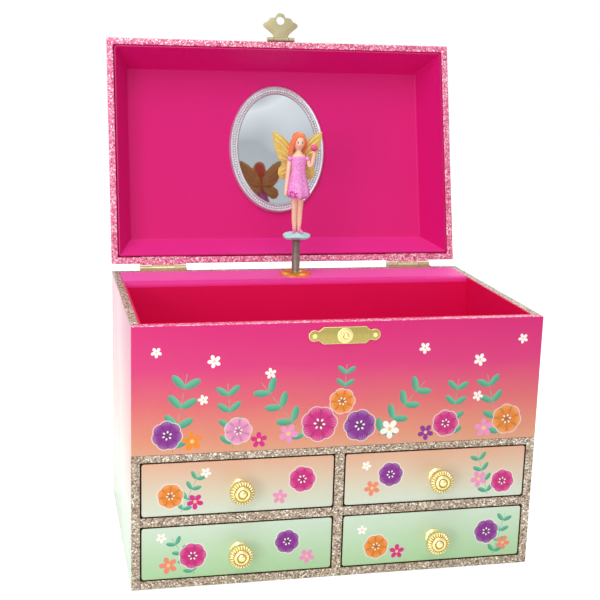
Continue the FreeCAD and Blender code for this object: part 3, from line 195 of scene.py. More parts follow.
champagne_glitter = glitter_paper(
    "champagne_glitter", tint(106, 84, 66), tint(178, 158, 134), tint(246, 240, 228))
pink_glitter = glitter_paper("pink_glitter", tint(186, 44, 96), tint(238, 120, 160), tint(255, 236, 240))

# Printed paper: a coated sheet that fades from hot pink at the rim of the case through coral and peach
# to pale green at its foot, printed with garden flowers, and glued over the boards and drawer fronts.
FADE = (
    (0.0, tint(170, 212, 154)),
    (0.13, tint(190, 222, 182)),
    (0.245, tint(210, 228, 208)),
    (0.3, tint(218, 228, 208)),
    (0.38, tint(222, 208, 182)),
    (0.47, tint(226, 180, 150)),
    (0.56, tint(228, 150, 118)),
    (0.7, tint(224, 102, 110)),
    (0.84, tint(220, 48, 120)),
    (1.0, tint(216, 22, 116)),
)
FADE_HEIGHT = 155
PURPLE = tint(140, 26, 148)
MAGENTA = tint(216, 22, 132)
ORANGE = tint(244, 140, 26)
PEACH = tint(240, 138, 110)
ROSE = tint(238, 150, 196)
WHITE = tint(255, 252, 246)
LEAF = tint(92, 190, 152)


def blossom(finish, paint, x, z, spot, radius, colour, ruffles=7):
    """A full round flower with a ruffled, pale-edged outline and pale stamens round its heart."""
    across = x - spot[0]
    up = z - spot[1]
    reach = (across * across + up * up) ** 0.5
    turn = finish.math("ARCTAN2", up, across)
    ruffle = abs(finish.math("COSINE", turn * (ruffles / 2) + spot[0]))
    edge = radius * (0.87 + 0.13 * ruffle ** 0.6)
    inside = ((edge - reach) * 4).kept()
    paint = finish.mix(((edge + 0.55 - reach) * 4).kept() * 0.55, paint, WHITE)
    streak = finish.math("SINE", turn * (5 * ruffles) + reach)
    depth = (reach / radius + streak * 0.1).kept()
    deep = tuple(level * 0.45 for level in colour[:3]) + (1,)
    pale = tuple(level * 0.8 + 0.16 for level in colour[:3]) + (1,)
    petals = finish.ramp(depth, (0.12, deep), (0.4, colour), (0.7, colour), (0.96, pale))
    fold = ((1 - ruffle) ** 3 * depth * 1.1 + (1 - ((depth - 0.52) * 9) ** 2).kept() * 0.32).kept()
    petals = finish.mix(fold, petals, deep)
    dots = finish.math("COSINE", turn * 6 + spot[1])
    ring = 1 - abs(reach - radius * 0.24) / (radius * 0.09)
    stamens = ((ring + dots - 0.75) * 2).kept()
    return finish.mix(inside, paint, finish.mix(stamens, petals, WHITE))


def daisy(finish, paint, x, z, spot, radius, colour, petals=5):
    """A small flat flower of separate petals with a yellow heart."""
    across = x - spot[0]
    up = z - spot[1]
    reach = (across * across + up * up) ** 0.5
    turn = finish.math("ARCTAN2", up, across)
    lobe = abs(finish.math("COSINE", turn * (petals / 2) + spot[0]))
    edge = radius * (0.3 + 0.7 * lobe ** 0.7)
    paint = finish.mix(((edge - reach) * 4).kept(), paint, colour)
    return finish.mix(((radius * 0.22 - reach) * 5).kept(), paint, tint(246, 206, 120))


def sprig(finish, paint, x, z, foot, length, lean, colour=LEAF):
    """A stem with pairs of leaves along it, from its foot, leaning by an angle from upright."""
    away = math.radians(lean)
    across = x - foot[0]
    up = z - foot[1]
    along = across * math.sin(away) + up * math.cos(away)
    aside = abs(across * math.cos(away) - up * math.sin(away))
    pitch = length / 4
    step = (along % pitch) - pitch * 0.55
    blade_long = step * 0.62 + (aside - pitch * 0.36) * 0.78
    blade_wide = (aside - pitch * 0.36) * 0.62 - step * 0.78
    leaf = 1 - ((blade_long / (pitch * 0.44)) ** 2 + (blade_wide / (pitch * 0.2)) ** 2)
    stem = 0.22 - aside
    within = (along > 0) * (along < length)
    mask = ((leaf * 6).kept() + (stem * 6).kept()).kept() * within
    dark = tuple(level * 0.6 for level in colour[:3]) + (1,)
    shaded = finish.mix((blade_wide * 4 / pitch + 0.5).kept(), colour, dark)
    return finish.mix(mask, paint, shaded)


def printed_paper(name, motifs, gloss=0.3, haze=0.22, painted_glare=0.0):
    """The fading ground and its flowers, under a film of given gloss and haze, paled by a share of painted glare."""
    finish = Finish(name, Coat_Weight=gloss, Coat_Roughness=haze, Specular_IOR_Level=0.35)
    x, y, z = finish.axes()
    cloud = finish.noise(26, 4)
    stops = [(place, tuple(level + painted_glare * (1 - level) for level in colour)) for place, colour in FADE]
    paint = finish.ramp(z / FADE_HEIGHT + (cloud - 0.5) * 0.05, *stops)
    for motif, *detail in motifs:
        paint = motif(finish, paint, x, z, *detail)
    fibre = finish.noise(0.35, 6)
    finish.set(Base_Color=paint, Roughness=0.34 + 0.14 * fibre)
    finish.bump(fibre, 0.008)
    return finish.material


# Case boards: fibreboard sawn to size and glued at the corners. The sides and back are papered outside,
# the front edges that frame the drawers and the rim are taped with glitter, and the rest stays bare.
FRONT = -76
RIM = 155


def eased(piece, rounding):
    """Round a piece's sharp edges by a radius in millimetres and shade it smooth."""
    bpy.context.view_layer.objects.active = piece
    bevel = piece.modifiers.new("rounding", "BEVEL")
    bevel.width = rounding * MM
    bevel.segments = 3
    bevel.limit_method = "ANGLE"
    bpy.ops.object.modifier_apply(modifier=bevel.name)
    bpy.ops.object.shade_smooth_by_angle(angle=math.radians(35))
    return piece


def sawn(name, outline, run, rounding=0.4):
    """Cut sheet material to an outline and give it thickness; all in millimetres."""
    bpy.ops.object.select_all(action="DESELECT")
    bpy.ops.mesh.primitive_circle_add(vertices=len(outline), fill_type="NGON")
    piece = bpy.context.object
    piece.name = name
    for vertex, corner in zip(piece.data.vertices, outline):
        vertex.co = Vector(corner) * MM
    bpy.ops.object.mode_set(mode="EDIT")
    bpy.ops.mesh.select_all(action="SELECT")
    bpy.ops.mesh.extrude_region_move(TRANSFORM_OT_translate={"value": Vector(run) * MM})
    bpy.ops.mesh.select_all(action="SELECT")
    bpy.ops.mesh.normals_make_consistent(inside=False)
    bpy.ops.object.mode_set(mode="OBJECT")
    return eased(piece, rounding)


def covered(piece, *coverings):
    """Lay coverings on a piece: a material for all of it, then pairs of a material and a test on faces."""
    piece.data.materials.append(coverings[0])
    for index, (material, test) in enumerate(coverings[1:], start=1):
        piece.data.materials.append(material)
        for face in piece.data.polygons:
            if test(face.center / MM, face.normal):
                face.material_index = index
    return piece


def fitted(piece, body, *replaced):
    """Fix a piece to its body, in place of the plain solids that it stands for."""
    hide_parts(*replaced)
    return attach(piece, body)


def painted(material, *names):
    """Give solids that keep their shape a finish."""
    for name in names:
        for place in nodes[name].material_slots:
            place.material = material


def faces_front(centre, normal):
    return normal.y < -0.5 and centre.y < FRONT + 1


def faces_up(centre, normal):
    return normal.z > 0.5 and centre.z > RIM - 1


bare_board = Finish("bare_fibreboard", Roughness=0.8)
board_grain = bare_board.noise(0.6, 8)
bare_board.set(Base_Color=bare_board.ramp(board_grain, (0.3, tint(78, 54, 38)), (0.7, tint(118, 86, 60))))
bare_board.bump(board_grain, 0.05)

# The sides and back take the fade lifted a quarter of the way to white: painted glare of the lamps on their gloss.
side_paper = printed_paper("side_paper", [], 0.55, 0.12, 0.25)


def faces_side(centre, normal):
    return abs(normal.x) > 0.5 and abs(centre.x) > 119


def faces_back(centre, normal):
    return normal.y > 0.5 and centre.y > 75


for side, sign in (("left", -1), ("right", 1)):
    board = sawn(f"{side}_side", [
        (sign * 120, FRONT, 0),
        (sign * 120, FRONT, 80.6),
        (sign * 120, FRONT + 5, 80.6),
        (sign * 120, FRONT + 5, RIM),
        (sign * 120, 76, RIM),
        (sign * 120, 76, 0),
    ], (-sign * 5, 0, 0))
    covered(board, bare_board.material, (side_paper, faces_side), (side_paper, faces_back),
            (champagne_glitter, faces_front), (champagne_glitter, faces_up))
    fitted(board, "case", f"{side}_side_board")

back = sawn("back", [(-115, 71, 0), (115, 71, 0), (115, 71, RIM), (-115, 71, RIM)], (0, 5, 0))
covered(back, bare_board.material, (side_paper, faces_back), (champagne_glitter, faces_up))
fitted(back, "case", "back_board")

for name, node, half, low_z, high_z in (
    ("base", "base_board", 115, 0, 5),
    ("shelf", "drawer_shelf", 115, 38, 43.4),
    ("tray_bottom", "tray_floor", 115, 76.4, 80.6),
):
    board = sawn(name, [
        (-half, FRONT, low_z), (half, FRONT, low_z), (half, FRONT, high_z), (-half, FRONT, high_z),
    ], (0, 147, 0), 0.25)
    covered(board, bare_board.material, (champagne_glitter, faces_front))
    fitted(board, "case", node)

uprights = []
for low_z, high_z in ((5, 38), (43.4, 76.4)):
    board = sawn("upright", [
        (-2.75, FRONT, low_z), (2.75, FRONT, low_z), (2.75, FRONT, high_z), (-2.75, FRONT, high_z),
    ], (0, 147, 0), 0.25)
    uprights.append(covered(board, bare_board.material, (champagne_glitter, faces_front)))


def joined(name, pieces):
    """Make one piece of several."""
    bpy.ops.object.select_all(action="DESELECT")
    for piece in pieces:
        piece.select_set(True)
    bpy.context.view_layer.objects.active = pieces[0]
    bpy.ops.object.join()
    bpy.context.object.name = name
    return bpy.context.object


fitted(joined("uprights", uprights), "case", "drawer_dividers")

# Front panel: one papered board across the whole width above the drawers, rebated over the ends of the
# sides. Its print is a posy at the middle with sprigs and small white flowers around it.
front_print = printed_paper("front_print", [
    (sprig, (-20, 86), 44, -38),
    (sprig, (22, 86), 42, 40),
    (sprig, (0, 100), 30, 4),
    (sprig, (-97, 82), 46, 10),
    (sprig, (97, 82), 40, -14),
    (blossom, (-13, 95), 10.5, MAGENTA),
    (blossom, (11, 93), 9.5, PURPLE),
    (blossom, (0, 108), 7.5, ORANGE),
    (daisy, (-31, 90), 6, ROSE),
    (daisy, (29, 90), 6, WHITE),
    (sprig, (-63, 83), 38, -5),
    (blossom, (-60, 93), 7.8, ROSE),
    (daisy, (-48, 87), 5, MAGENTA),
    (sprig, (66, 83), 36, 6),
    (blossom, (63, 92), 8, MAGENTA),
    (daisy, (51, 87), 5, PURPLE),
    (blossom, (-100, 92), 8.5, PURPLE),
    (daisy, (-86, 88), 6, ORANGE),
    (blossom, (101, 93), 9, ORANGE),
    (daisy, (87, 88), 6, ROSE),
    (daisy, (-74, 134), 4, WHITE),
    (daisy, (-42, 126), 3.4, WHITE),
    (daisy, (-80, 112), 3.2, WHITE),
    (daisy, (82, 108), 3.4, WHITE),
    (daisy, (48, 138), 3.6, WHITE),
    (daisy, (82, 130), 4, WHITE),
    (daisy, (-106, 140), 3.2, WHITE),
    (daisy, (108, 142), 3.2, WHITE),
])
front = sawn("front_panel", [
    (-120, FRONT, 80.6), (120, FRONT, 80.6), (120, FRONT, RIM), (-120, FRONT, RIM),
], (0, 5, 0), 0.5)
covered(front, bare_board.material, (front_print, faces_front), (side_paper, faces_side),
        (pink_glitter, faces_up))
fitted(front, "case", "front_board")

# Tray lining, partition and ledge: pink card glued round the inside of the tray, over the partition that
# hides the movement, and over the ledge behind it, whose front edge is a soft fold.
lining_card = Finish("pink_lining_card", Roughness=0.5, Specular_IOR_Level=0.25)
card_fibre = lining_card.noise(0.5, 6)
card_cloud = lining_card.noise(40, 2)
lining_card.set(Base_Color=lining_card.mix(
    card_cloud * 0.3 + card_fibre * 0.15, tint(214, 12, 118), tint(222, 28, 130)))
lining_card.bump(card_fibre, 0.02)
painted(lining_card.material, "movement_partition")


def plain_card(name, shade, light):
    """Card in two given tones with a fine fibre, a little uneven over its breadth."""
    finish = Finish(name, Roughness=0.5, Specular_IOR_Level=0.25)
    fibre = finish.noise(0.5, 6)
    finish.set(Base_Color=finish.mix(finish.noise(40, 2) * 0.5 + fibre * 0.3, shade, light))
    finish.bump(fibre, 0.02)
    return finish.material


# The tray is lined with the same pink card, here painted a darker crimson: painted shade and red bounce light inside
# the tray.
painted(plain_card("tray_card_painted_shade", tint(224, 0, 82), tint(230, 14, 98)), "tray_lining")
# The ledge card is painted darker at its folded front edge and lighter on the top behind it: painted light from above.
ledge_card = Finish("pink_ledge_card_painted_light", Roughness=0.5, Specular_IOR_Level=0.25)
ledge_painted_top_light = ((ledge_card.axes()[1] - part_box("ledge_board")[0].y / MM - 1.5) / 6).kept()
ledge_fibre = ledge_card.noise(0.5, 6)
ledge_card.set(Base_Color=ledge_card.mix(
    ledge_painted_top_light * 0.85 + ledge_fibre * 0.15, tint(226, 34, 138), tint(246, 98, 184)))
ledge_card.bump(ledge_fibre, 0.02)
painted(ledge_card.material, "ledge_board")

# Collar: a brass cup pressed into the ledge, dished at the top, in which the stem's foot turns.
gilt = Finish("gilt_brass", Metallic=0.8)
gilt_wear = gilt.noise(2.4, 5)
gilt.set(Base_Color=gilt.mix(gilt_wear, tint(240, 184, 58), tint(250, 208, 96)), Roughness=0.24 + 0.1 * gilt_wear)
gilt.bump(gilt.noise(0.3, 2), 0.004)
painted(gilt.material, "spindle_collar")

# Music movement: a nickelled bedplate with its comb, screws, pinned brass cylinder, spring barrel, fly
# governor and winding key, screwed to the back board out of sight behind the partition.
steel = Finish("bright_steel", Metallic=1.0)
steel_grain = steel.noise(0.8, 6)
steel.set(Base_Color=steel.mix(steel_grain, tint(150, 150, 152), tint(196, 196, 198)),
          Roughness=0.26 + 0.16 * steel_grain)
painted(steel.material, "movement_bedplate", "movement_screws", "comb", "spindle", "mainspring",
        "winding_arbor", "hinge_pins", "hasp_pin")
pale_brass = Finish("pale_brass", Metallic=0.7)
brass_wear = pale_brass.noise(1.5, 4)
pale_brass.set(Base_Color=pale_brass.mix(brass_wear, tint(160, 136, 92), tint(206, 190, 152)),
               Roughness=0.3 + 0.14 * brass_wear)
painted(pale_brass.material, "pinned_cylinder", "spring_barrel", "governor", "winding_key")

# Drawers: four card-lined trays, each with a papered front that lies flush in its opening with a dark
# shadow line all round, and a screw through the front into its knob.
DRAWERS = {
    "upper_left": (-58.875, 43.4, [
        (sprig, (-92, 46), 26, 24), (blossom, (-98, 56), 7.5, ORANGE), (daisy, (-84, 52), 5, MAGENTA),
        (daisy, (-78, 69), 3.2, WHITE), (blossom, (-22, 62), 8, MAGENTA), (daisy, (-35, 52), 4.6, ROSE),
    ]),
    "upper_right": (58.875, 43.4, [
        (daisy, (20, 54), 5, PEACH), (blossom, (31, 62), 7.6, PURPLE), (daisy, (16, 68), 3, WHITE),
        (sprig, (92, 46), 28, -16), (daisy, (86, 56), 5.4, ROSE), (blossom, (101, 54), 7.4, MAGENTA),
    ]),
    "lower_left": (-58.875, 5, [
        (sprig, (-84, 8), 26, -30), (blossom, (-85, 19), 8, MAGENTA), (daisy, (-99, 14), 5.4, PEACH),
        (daisy, (-103, 31), 3.2, WHITE), (blossom, (-30, 24), 7.4, PURPLE), (daisy, (-18, 14), 4.8, ROSE),
    ]),
    "lower_right": (58.875, 5, [
        (daisy, (15, 28), 3.2, WHITE), (blossom, (24, 17), 7.6, ORANGE), (daisy, (37, 13), 4.8, MAGENTA),
        (sprig, (98, 7), 27, 14), (blossom, (93, 22), 7.8, PURPLE), (daisy, (104, 14), 4.8, PEACH),
    ]),
}
DRAWER_WIDTH = 110.65
DRAWER_RISE = 31.4
BAY = 33
painted(lining_card.material, *[f"{label}_drawer_tray" for label in DRAWERS])
painted(steel.material, *[f"{label}_knob_screw" for label in DRAWERS])


def rounded_rectangle(middle, y, centre, width, rise, radius, corner_points=5):
    """An upright outline with rounded corners."""
    points = []
    for quarter, (side, level) in enumerate(((1, 1), (-1, 1), (-1, -1), (1, -1))):
        for step in range(corner_points):
            angle = math.radians(90 * quarter + 90 * step / (corner_points - 1))
            points.append((
                middle + side * (width / 2 - radius) + radius * math.cos(angle), y,
                centre + level * (rise / 2 - radius) + radius * math.sin(angle)))
    return points


def faces_out(centre, normal):
    return normal.y < -0.3 and centre.y < FRONT + 0.6


for label, (middle, floor, motifs) in DRAWERS.items():
    outline = rounded_rectangle(middle, FRONT, floor + BAY / 2, DRAWER_WIDTH, DRAWER_RISE, 1.5)
    board = sawn(f"{label}_front", outline, (0, 6, 0), 0.45)
    covered(board, bare_board.material, (printed_paper(f"{label}_print", motifs), faces_out))
    fitted(board, f"{label}_drawer", f"{label}_drawer_front")

# Knobs: cast metal with a pale gilt finish, a waisted neck, a fluted rim round the face, a plain ring
# and a small coned boss in the middle.
KNOB_PROFILE = (
    (0.0, 0.0), (4.8, 0.0), (4.8, 1.1), (4.2, 1.6), (3.5, 2.2), (3.5, 5.6), (4.4, 7.4), (6.4, 9.0), (7.1, 9.7),
    (7.25, 10.8), (7.1, 11.6), (6.7, 12.2), (6.0, 12.7), (5.0, 13.0), (4.7, 12.6), (4.4, 12.6), (4.1, 13.2),
    (3.3, 13.6), (2.8, 13.4), (2.6, 13.0), (2.3, 13.0), (1.9, 13.8), (1.1, 14.3), (0.0, 14.4),
)
FLUTES = 24


def lathed(name, profile, steps, place, axis="Z"):
    """Spin a profile of radius and height about an axis through a place; closed at both ends."""
    bpy.ops.object.select_all(action="DESELECT")
    bpy.ops.mesh.primitive_circle_add(vertices=len(profile), fill_type="NOTHING")
    piece = bpy.context.object
    piece.name = name
    for vertex, (radius, height) in zip(piece.data.vertices, profile):
        vertex.co = (radius * MM, 0, height * MM)
    bpy.ops.object.mode_set(mode="EDIT")
    bpy.ops.mesh.select_all(action="SELECT")
    bpy.ops.mesh.spin(steps=steps, angle=math.tau, center=(0, 0, 0), axis=(0, 0, 1))
    bpy.ops.mesh.select_all(action="SELECT")
    bpy.ops.mesh.remove_doubles(threshold=0.01 * MM)
    bpy.ops.mesh.dissolve_degenerate(threshold=0.005 * MM)
    bpy.ops.mesh.delete_loose()
    bpy.ops.mesh.select_all(action="SELECT")
    bpy.ops.mesh.normals_make_consistent(inside=False)
    bpy.ops.object.mode_set(mode="OBJECT")
    turns = {
        "Z": Matrix.Identity(4),
        "-Y": Matrix.Rotation(math.radians(90), 4, "X"),
        "X": Matrix.Rotation(math.radians(90), 4, "Y"),
    }
    piece.data.transform(Matrix.Translation(Vector(place) * MM) @ turns[axis])
    bpy.ops.object.shade_smooth_by_angle(angle=math.radians(40))
    return piece


pale_gilt = Finish("pale_gilt_casting", Metallic=0.9)
knob_wear = pale_gilt.noise(4, 2)
pale_gilt.set(Base_Color=pale_gilt.mix(knob_wear, tint(228, 212, 142), tint(246, 236, 184)),
              Roughness=0.18 + 0.12 * knob_wear)
# The flute valleys and the two grooves on each knob's face take a darker gilt: painted shade in the recesses.
recess_shade_gilt = Finish("gilt_with_painted_recess_shade", Metallic=0.8, Roughness=0.4)
recess_shade_cloud = recess_shade_gilt.noise(2, 3)
recess_shade_gilt.set(Base_Color=recess_shade_gilt.mix(recess_shade_cloud, tint(158, 128, 56), tint(190, 160, 84)))
for label, (middle, floor, motifs) in DRAWERS.items():
    centre = floor + BAY / 2

    def recessed(spot, normal):
        reach = math.hypot(spot.x - middle, spot.z - centre)
        turn = math.atan2(spot.z - centre, spot.x - middle)
        valley = reach > 4.85 and math.cos(FLUTES * turn) < -0.5
        return spot.y < FRONT - 11.5 and (valley or 4.35 < reach < 4.9 or 2.25 < reach < 2.7)

    knob = lathed(f"{label}_pull", KNOB_PROFILE, 6 * FLUTES, (middle, FRONT, centre), "-Y")
    for vertex in knob.data.vertices:
        across = vertex.co.x / MM - middle
        up = vertex.co.z / MM - centre
        radius = math.hypot(across, up)
        if radius > 4.85 and vertex.co.y / MM < FRONT - 9.5:
            wave = 0.5 - 0.5 * math.cos(FLUTES * math.atan2(up, across))
            vertex.co.y += 0.8 * wave * MM
            vertex.co.x -= 0.3 * wave * across / radius * MM
            vertex.co.z -= 0.3 * wave * up / radius * MM
    covered(knob, pale_gilt.material, (recess_shade_gilt.material, recessed))
    fitted(knob, f"{label}_drawer", f"{label}_knob")

# Lid hinges: two small butt hinges of thin pale brass, nailed to the case's back rim and to the lid's.
painted(pale_brass.material, "hinge_case_leaves", "lid_nails")
painted(glitter_paper("taped_leaf", tint(186, 44, 96), tint(238, 120, 160), tint(255, 236, 240),
                      tint(206, 190, 152), 157.9), "hinge_lid_leaves")

# Lid shell: four leaning walls and a top of fibreboard, papered in pink outside and taped with pink
# glitter round the rim. It is drawn flat on its hinge line and then leant back as it stands open.
LEAN = Matrix.Rotation(math.radians(-14.4), 4, "X")
HINGE = Vector((0, 79.2, 155.6)) * MM
LID_FRAME = Matrix.Translation(HINGE) @ LEAN
REAR = 3.2
LID_DEPTH = 33
LID_TAPER = 5.5
SEAT = 0.6


def in_lid(piece):
    """Stand a piece drawn on the lid's own axes where the open lid is."""
    piece.data.transform(LID_FRAME)
    return piece


def frame_corners(half, rear, front, depth):
    """The four corners of a lid-sized oblong at a depth below the rim, on the lid's axes."""
    y = SEAT + depth
    return [(-half, y, rear), (half, y, rear), (half, y, front), (-half, y, front)]


def tapered(name, rim, floor):
    """A hollow with leaning walls: an oblong at the rim, run down to a smaller floor, open at the rim."""
    bpy.ops.object.select_all(action="DESELECT")
    bpy.ops.mesh.primitive_circle_add(vertices=4, fill_type="NGON")
    piece = bpy.context.object
    piece.name = name
    for vertex, corner in zip(piece.data.vertices, floor):
        vertex.co = Vector(corner) * MM
    bpy.ops.object.mode_set(mode="EDIT")
    bpy.ops.mesh.select_mode(type="EDGE")
    bpy.ops.mesh.select_all(action="SELECT")
    bpy.ops.mesh.extrude_edges_move(TRANSFORM_OT_translate={"value": (0, -LID_DEPTH * MM, 0)})
    bpy.ops.object.mode_set(mode="OBJECT")
    for vertex, corner in zip(list(piece.data.vertices)[4:], rim):
        vertex.co = Vector(corner) * MM
    return piece


lid_paper = Finish("lid_paper", Coat_Weight=0.1, Coat_Roughness=0.5, Specular_IOR_Level=0.2)
lid_x, lid_y, lid_z = lid_paper.axes()
lid_cloud = lid_paper.noise(60, 3)
lid_ground = lid_paper.mix(lid_cloud, tint(222, 26, 118), tint(232, 62, 140))
for spot, size, petal_colour in (
    ((-62, 196), 9, WHITE), ((48, 176), 7, WHITE), ((-20, 244), 8, WHITE), ((70, 268), 9, WHITE),
    ((10, 205), 6, ROSE), ((-88, 262), 7, ROSE), ((86, 216), 6, ROSE), ((-40, 285), 6, ROSE),
):
    lid_ground = daisy(lid_paper, lid_ground, lid_x, lid_z, spot, size, petal_colour)
lid_paper.set(Base_Color=lid_ground, Roughness=0.56 + 0.1 * lid_paper.noise(0.4, 5))
outer_rim = frame_corners(120, REAR, REAR + 152, 0)
outer_top = frame_corners(120 - LID_TAPER, REAR + LID_TAPER, REAR + 152 - LID_TAPER, LID_DEPTH)
shell = tapered("lid_shell", outer_rim, outer_top)
wall = shell.modifiers.new("wall", "SOLIDIFY")
wall.thickness = 4.5 * MM
wall.offset = -1
wall.use_even_offset = True
bpy.context.view_layer.objects.active = shell
bpy.ops.object.mode_set(mode="EDIT")
bpy.ops.mesh.select_all(action="SELECT")
bpy.ops.mesh.normals_make_consistent(inside=False)
bpy.ops.object.mode_set(mode="OBJECT")
bpy.ops.object.modifier_apply(modifier=wall.name)
for vertex in shell.data.vertices:
    if vertex.co.y < (SEAT + 2) * MM:
        vertex.co.y = SEAT * MM
eased(shell, 0.6)


def faces_rim(centre, normal):
    return normal.y < -0.5 and centre.y < SEAT + 0.9


covered(shell, lid_paper.material, (pink_glitter, faces_rim))
in_lid(shell)
fitted(shell, "lid", "lid_front_board", "lid_back_board", "lid_left_board", "lid_right_board",
               "lid_top_board")

# Lid lining: a tray folded from one sheet of pink card and dropped into the lid, with leaning walls, soft
# folds and a thin pale cut edge just inside the rim.
cut_card = plain_card("cut_card_edge", tint(190, 16, 92), tint(220, 52, 128))
# The lining's lower, up-facing wall gets a lighter, pinker copy of the lining card: painted light.
lit_card = plain_card("low_wall_card_painted_light", tint(232, 40, 146), tint(238, 58, 156))
LINING_FLOOR = 28
lining = tapered("lid_tray", frame_corners(114.1, REAR + 5.9, REAR + 146.1, 0),
                 frame_corners(104.7, REAR + 18.5, REAR + 137.2, LINING_FLOOR))
bpy.ops.object.mode_set(mode="EDIT")
bpy.ops.mesh.select_all(action="SELECT")
bpy.ops.mesh.normals_make_consistent(inside=True)
bpy.ops.object.mode_set(mode="OBJECT")
folds = lining.modifiers.new("folds", "BEVEL")
folds.width = 1.1 * MM
folds.segments = 5
folds.limit_method = "ANGLE"
bpy.ops.object.modifier_apply(modifier=folds.name)
card = lining.modifiers.new("card", "SOLIDIFY")
card.thickness = 0.9 * MM
card.offset = -1
bpy.ops.object.modifier_apply(modifier=card.name)
bpy.ops.object.shade_smooth_by_angle(angle=math.radians(35))


def low_wall(centre, normal):
    return normal.z > 0.6 and centre.z < REAR + 20


covered(lining, lining_card.material, (lit_card, low_wall), (cut_card, faces_rim))
in_lid(lining)
fitted(lining, "lid", "lid_lining")

# Mirror: an oval of silvered glass in a silvered plastic frame, with a row of small beads round it
# between a raised outer lip and a thin inner one, glued to the lid's lining.
MIRROR_HALF = (34.25, 45.0)
MIRROR_Z = REAR + 81.6
CEILING = SEAT + 28
FRAME_PROFILE = (
    (34.25, 0.0), (34.25, 1.6), (33.7, 2.9), (32.9, 3.4), (32.1, 3.0), (31.7, 2.4), (30.2, 2.3), (29.7, 2.8),
    (29.1, 3.2), (28.6, 2.8), (28.3, 2.0), (28.3, 0.0),
)


def on_oval(offset, angle):
    """A point inside the mirror's outline by an offset, at an angle round it."""
    return ((MIRROR_HALF[0] - offset) * math.cos(angle), (MIRROR_HALF[1] - offset) * math.sin(angle))


silver = Finish("silvered_plastic", Metallic=0.5)
silver_wear = silver.noise(1.2, 4)
silver.set(Base_Color=silver.mix(silver_wear, tint(200, 203, 209), tint(236, 238, 242)),
           Roughness=0.24 + 0.12 * silver_wear)
bpy.ops.object.select_all(action="DESELECT")
bpy.ops.mesh.primitive_circle_add(vertices=len(FRAME_PROFILE), fill_type="NOTHING")
surround = bpy.context.object
for vertex, (radius, height) in zip(surround.data.vertices, FRAME_PROFILE):
    vertex.co = (radius * MM, 0, height * MM)
bpy.ops.object.mode_set(mode="EDIT")
bpy.ops.mesh.select_all(action="SELECT")
bpy.ops.mesh.spin(steps=160, angle=math.tau, center=(0, 0, 0), axis=(0, 0, 1))
bpy.ops.mesh.select_all(action="SELECT")
bpy.ops.mesh.remove_doubles(threshold=0.01 * MM)
bpy.ops.mesh.normals_make_consistent(inside=False)
bpy.ops.object.mode_set(mode="OBJECT")
for vertex in surround.data.vertices:
    angle = math.atan2(vertex.co.y, vertex.co.x)
    offset = MIRROR_HALF[0] - math.hypot(vertex.co.x, vertex.co.y) / MM
    x, z = on_oval(offset, angle)
    vertex.co = Vector((x, CEILING - vertex.co.z / MM, MIRROR_Z + z)) * MM
bpy.ops.object.mode_set(mode="EDIT")
bpy.ops.mesh.select_all(action="SELECT")
bpy.ops.mesh.normals_make_consistent(inside=False)
bpy.ops.object.mode_set(mode="OBJECT")
bpy.ops.object.shade_smooth_by_angle(angle=math.radians(50))
BEADS = 128
# The channel under the beads, between the two lips, is a darker, less metallic and rougher silver; its darker colour
# is painted shade in the recess.
channel_shade_silver = Finish("silver_channel_painted_shade", Metallic=0.4, Roughness=0.4)
channel_shade_cloud = channel_shade_silver.noise(1.5, 3)
channel_shade_silver.set(Base_Color=channel_shade_silver.mix(channel_shade_cloud, tint(164, 168, 174), tint(194, 198, 204)))
covered(surround, silver.material, (channel_shade_silver.material, lambda centre, normal: CEILING - 2.6 < centre.y < CEILING - 2.2))
beads = []
angle = 0.0
for index in range(BEADS):
    x, z = on_oval(3.3, angle)
    bpy.ops.mesh.primitive_uv_sphere_add(segments=10, ring_count=6, radius=0.84 * MM)
    bead = bpy.context.object
    bead.data.transform(Matrix.Translation(Vector((x, CEILING - 2.5, MIRROR_Z + z)) * MM))
    bpy.ops.object.shade_smooth()
    bead.data.materials.append(silver.material)
    beads.append(bead)
    stretch = math.hypot((MIRROR_HALF[0] - 3.3) * math.sin(angle), (MIRROR_HALF[1] - 3.3) * math.cos(angle))
    angle += 1.788 / stretch
surround = joined("mirror_surround", [surround, *beads])
in_lid(surround)
fitted(surround, "lid", "mirror_frame")

# The silvering's colour is a painted reflection: greys that change with height, lightest high up with a darker band at
# the top, clouded across the oval.
mirror_glass = Finish("silvered_glass_painted_reflection", Metallic=1.0)
glass_height = mirror_glass.axes()[2]
reflection_cloud = mirror_glass.noise(45, 1)
mirror_glass.set(Base_Color=mirror_glass.ramp(
    (glass_height - 185) / 100 + (reflection_cloud - 0.5) * 0.5,
    (0.0, tint(176, 186, 190)), (0.45, tint(170, 177, 183)), (0.78, tint(222, 229, 234)), (1.0, tint(142, 147, 152))))
mirror_glass.set(Roughness=0.03 + 0.03 * mirror_glass.noise(20, 2))
painted(mirror_glass.material, "mirror_plate")

# Latch: stamped plates of pale brass with a lobe and a pin at each end. The lower one carries a stepped
# stud, and the upper one the fan-shaped tongue that drops over the stud to close the box.


def latch_outline():
    """Half-and-half outline of a latch plate: a long body with cut corners and a round lobe at each end."""
    right = [(12.4, 5.0), (14.4, 3.2), (15.2, 2.9)]
    lobe = [(17.6 + 3.4 * math.cos(math.radians(a)), 3.4 * math.sin(math.radians(a))) for a in range(120, -1, -20)]
    upper = right + lobe
    lower = [(x, -z) for x, z in reversed(upper[:-1])]
    half = upper + lower
    return half + [(-x, -z) for x, z in half]


LATCH_Z = 147
latch_brass = Finish("brushed_latch_brass", Metallic=0.85)
latch_wear = latch_brass.noise(1.2, 5)
latch_brass.set(Base_Color=latch_brass.mix(latch_wear, tint(154, 139, 70), tint(194, 180, 108)),
                Roughness=0.26 + 0.16 * latch_wear)
keeper = sawn("keeper", [(x, FRONT, LATCH_Z + z) for x, z in latch_outline()], (0, -0.7, 0), 0.34)
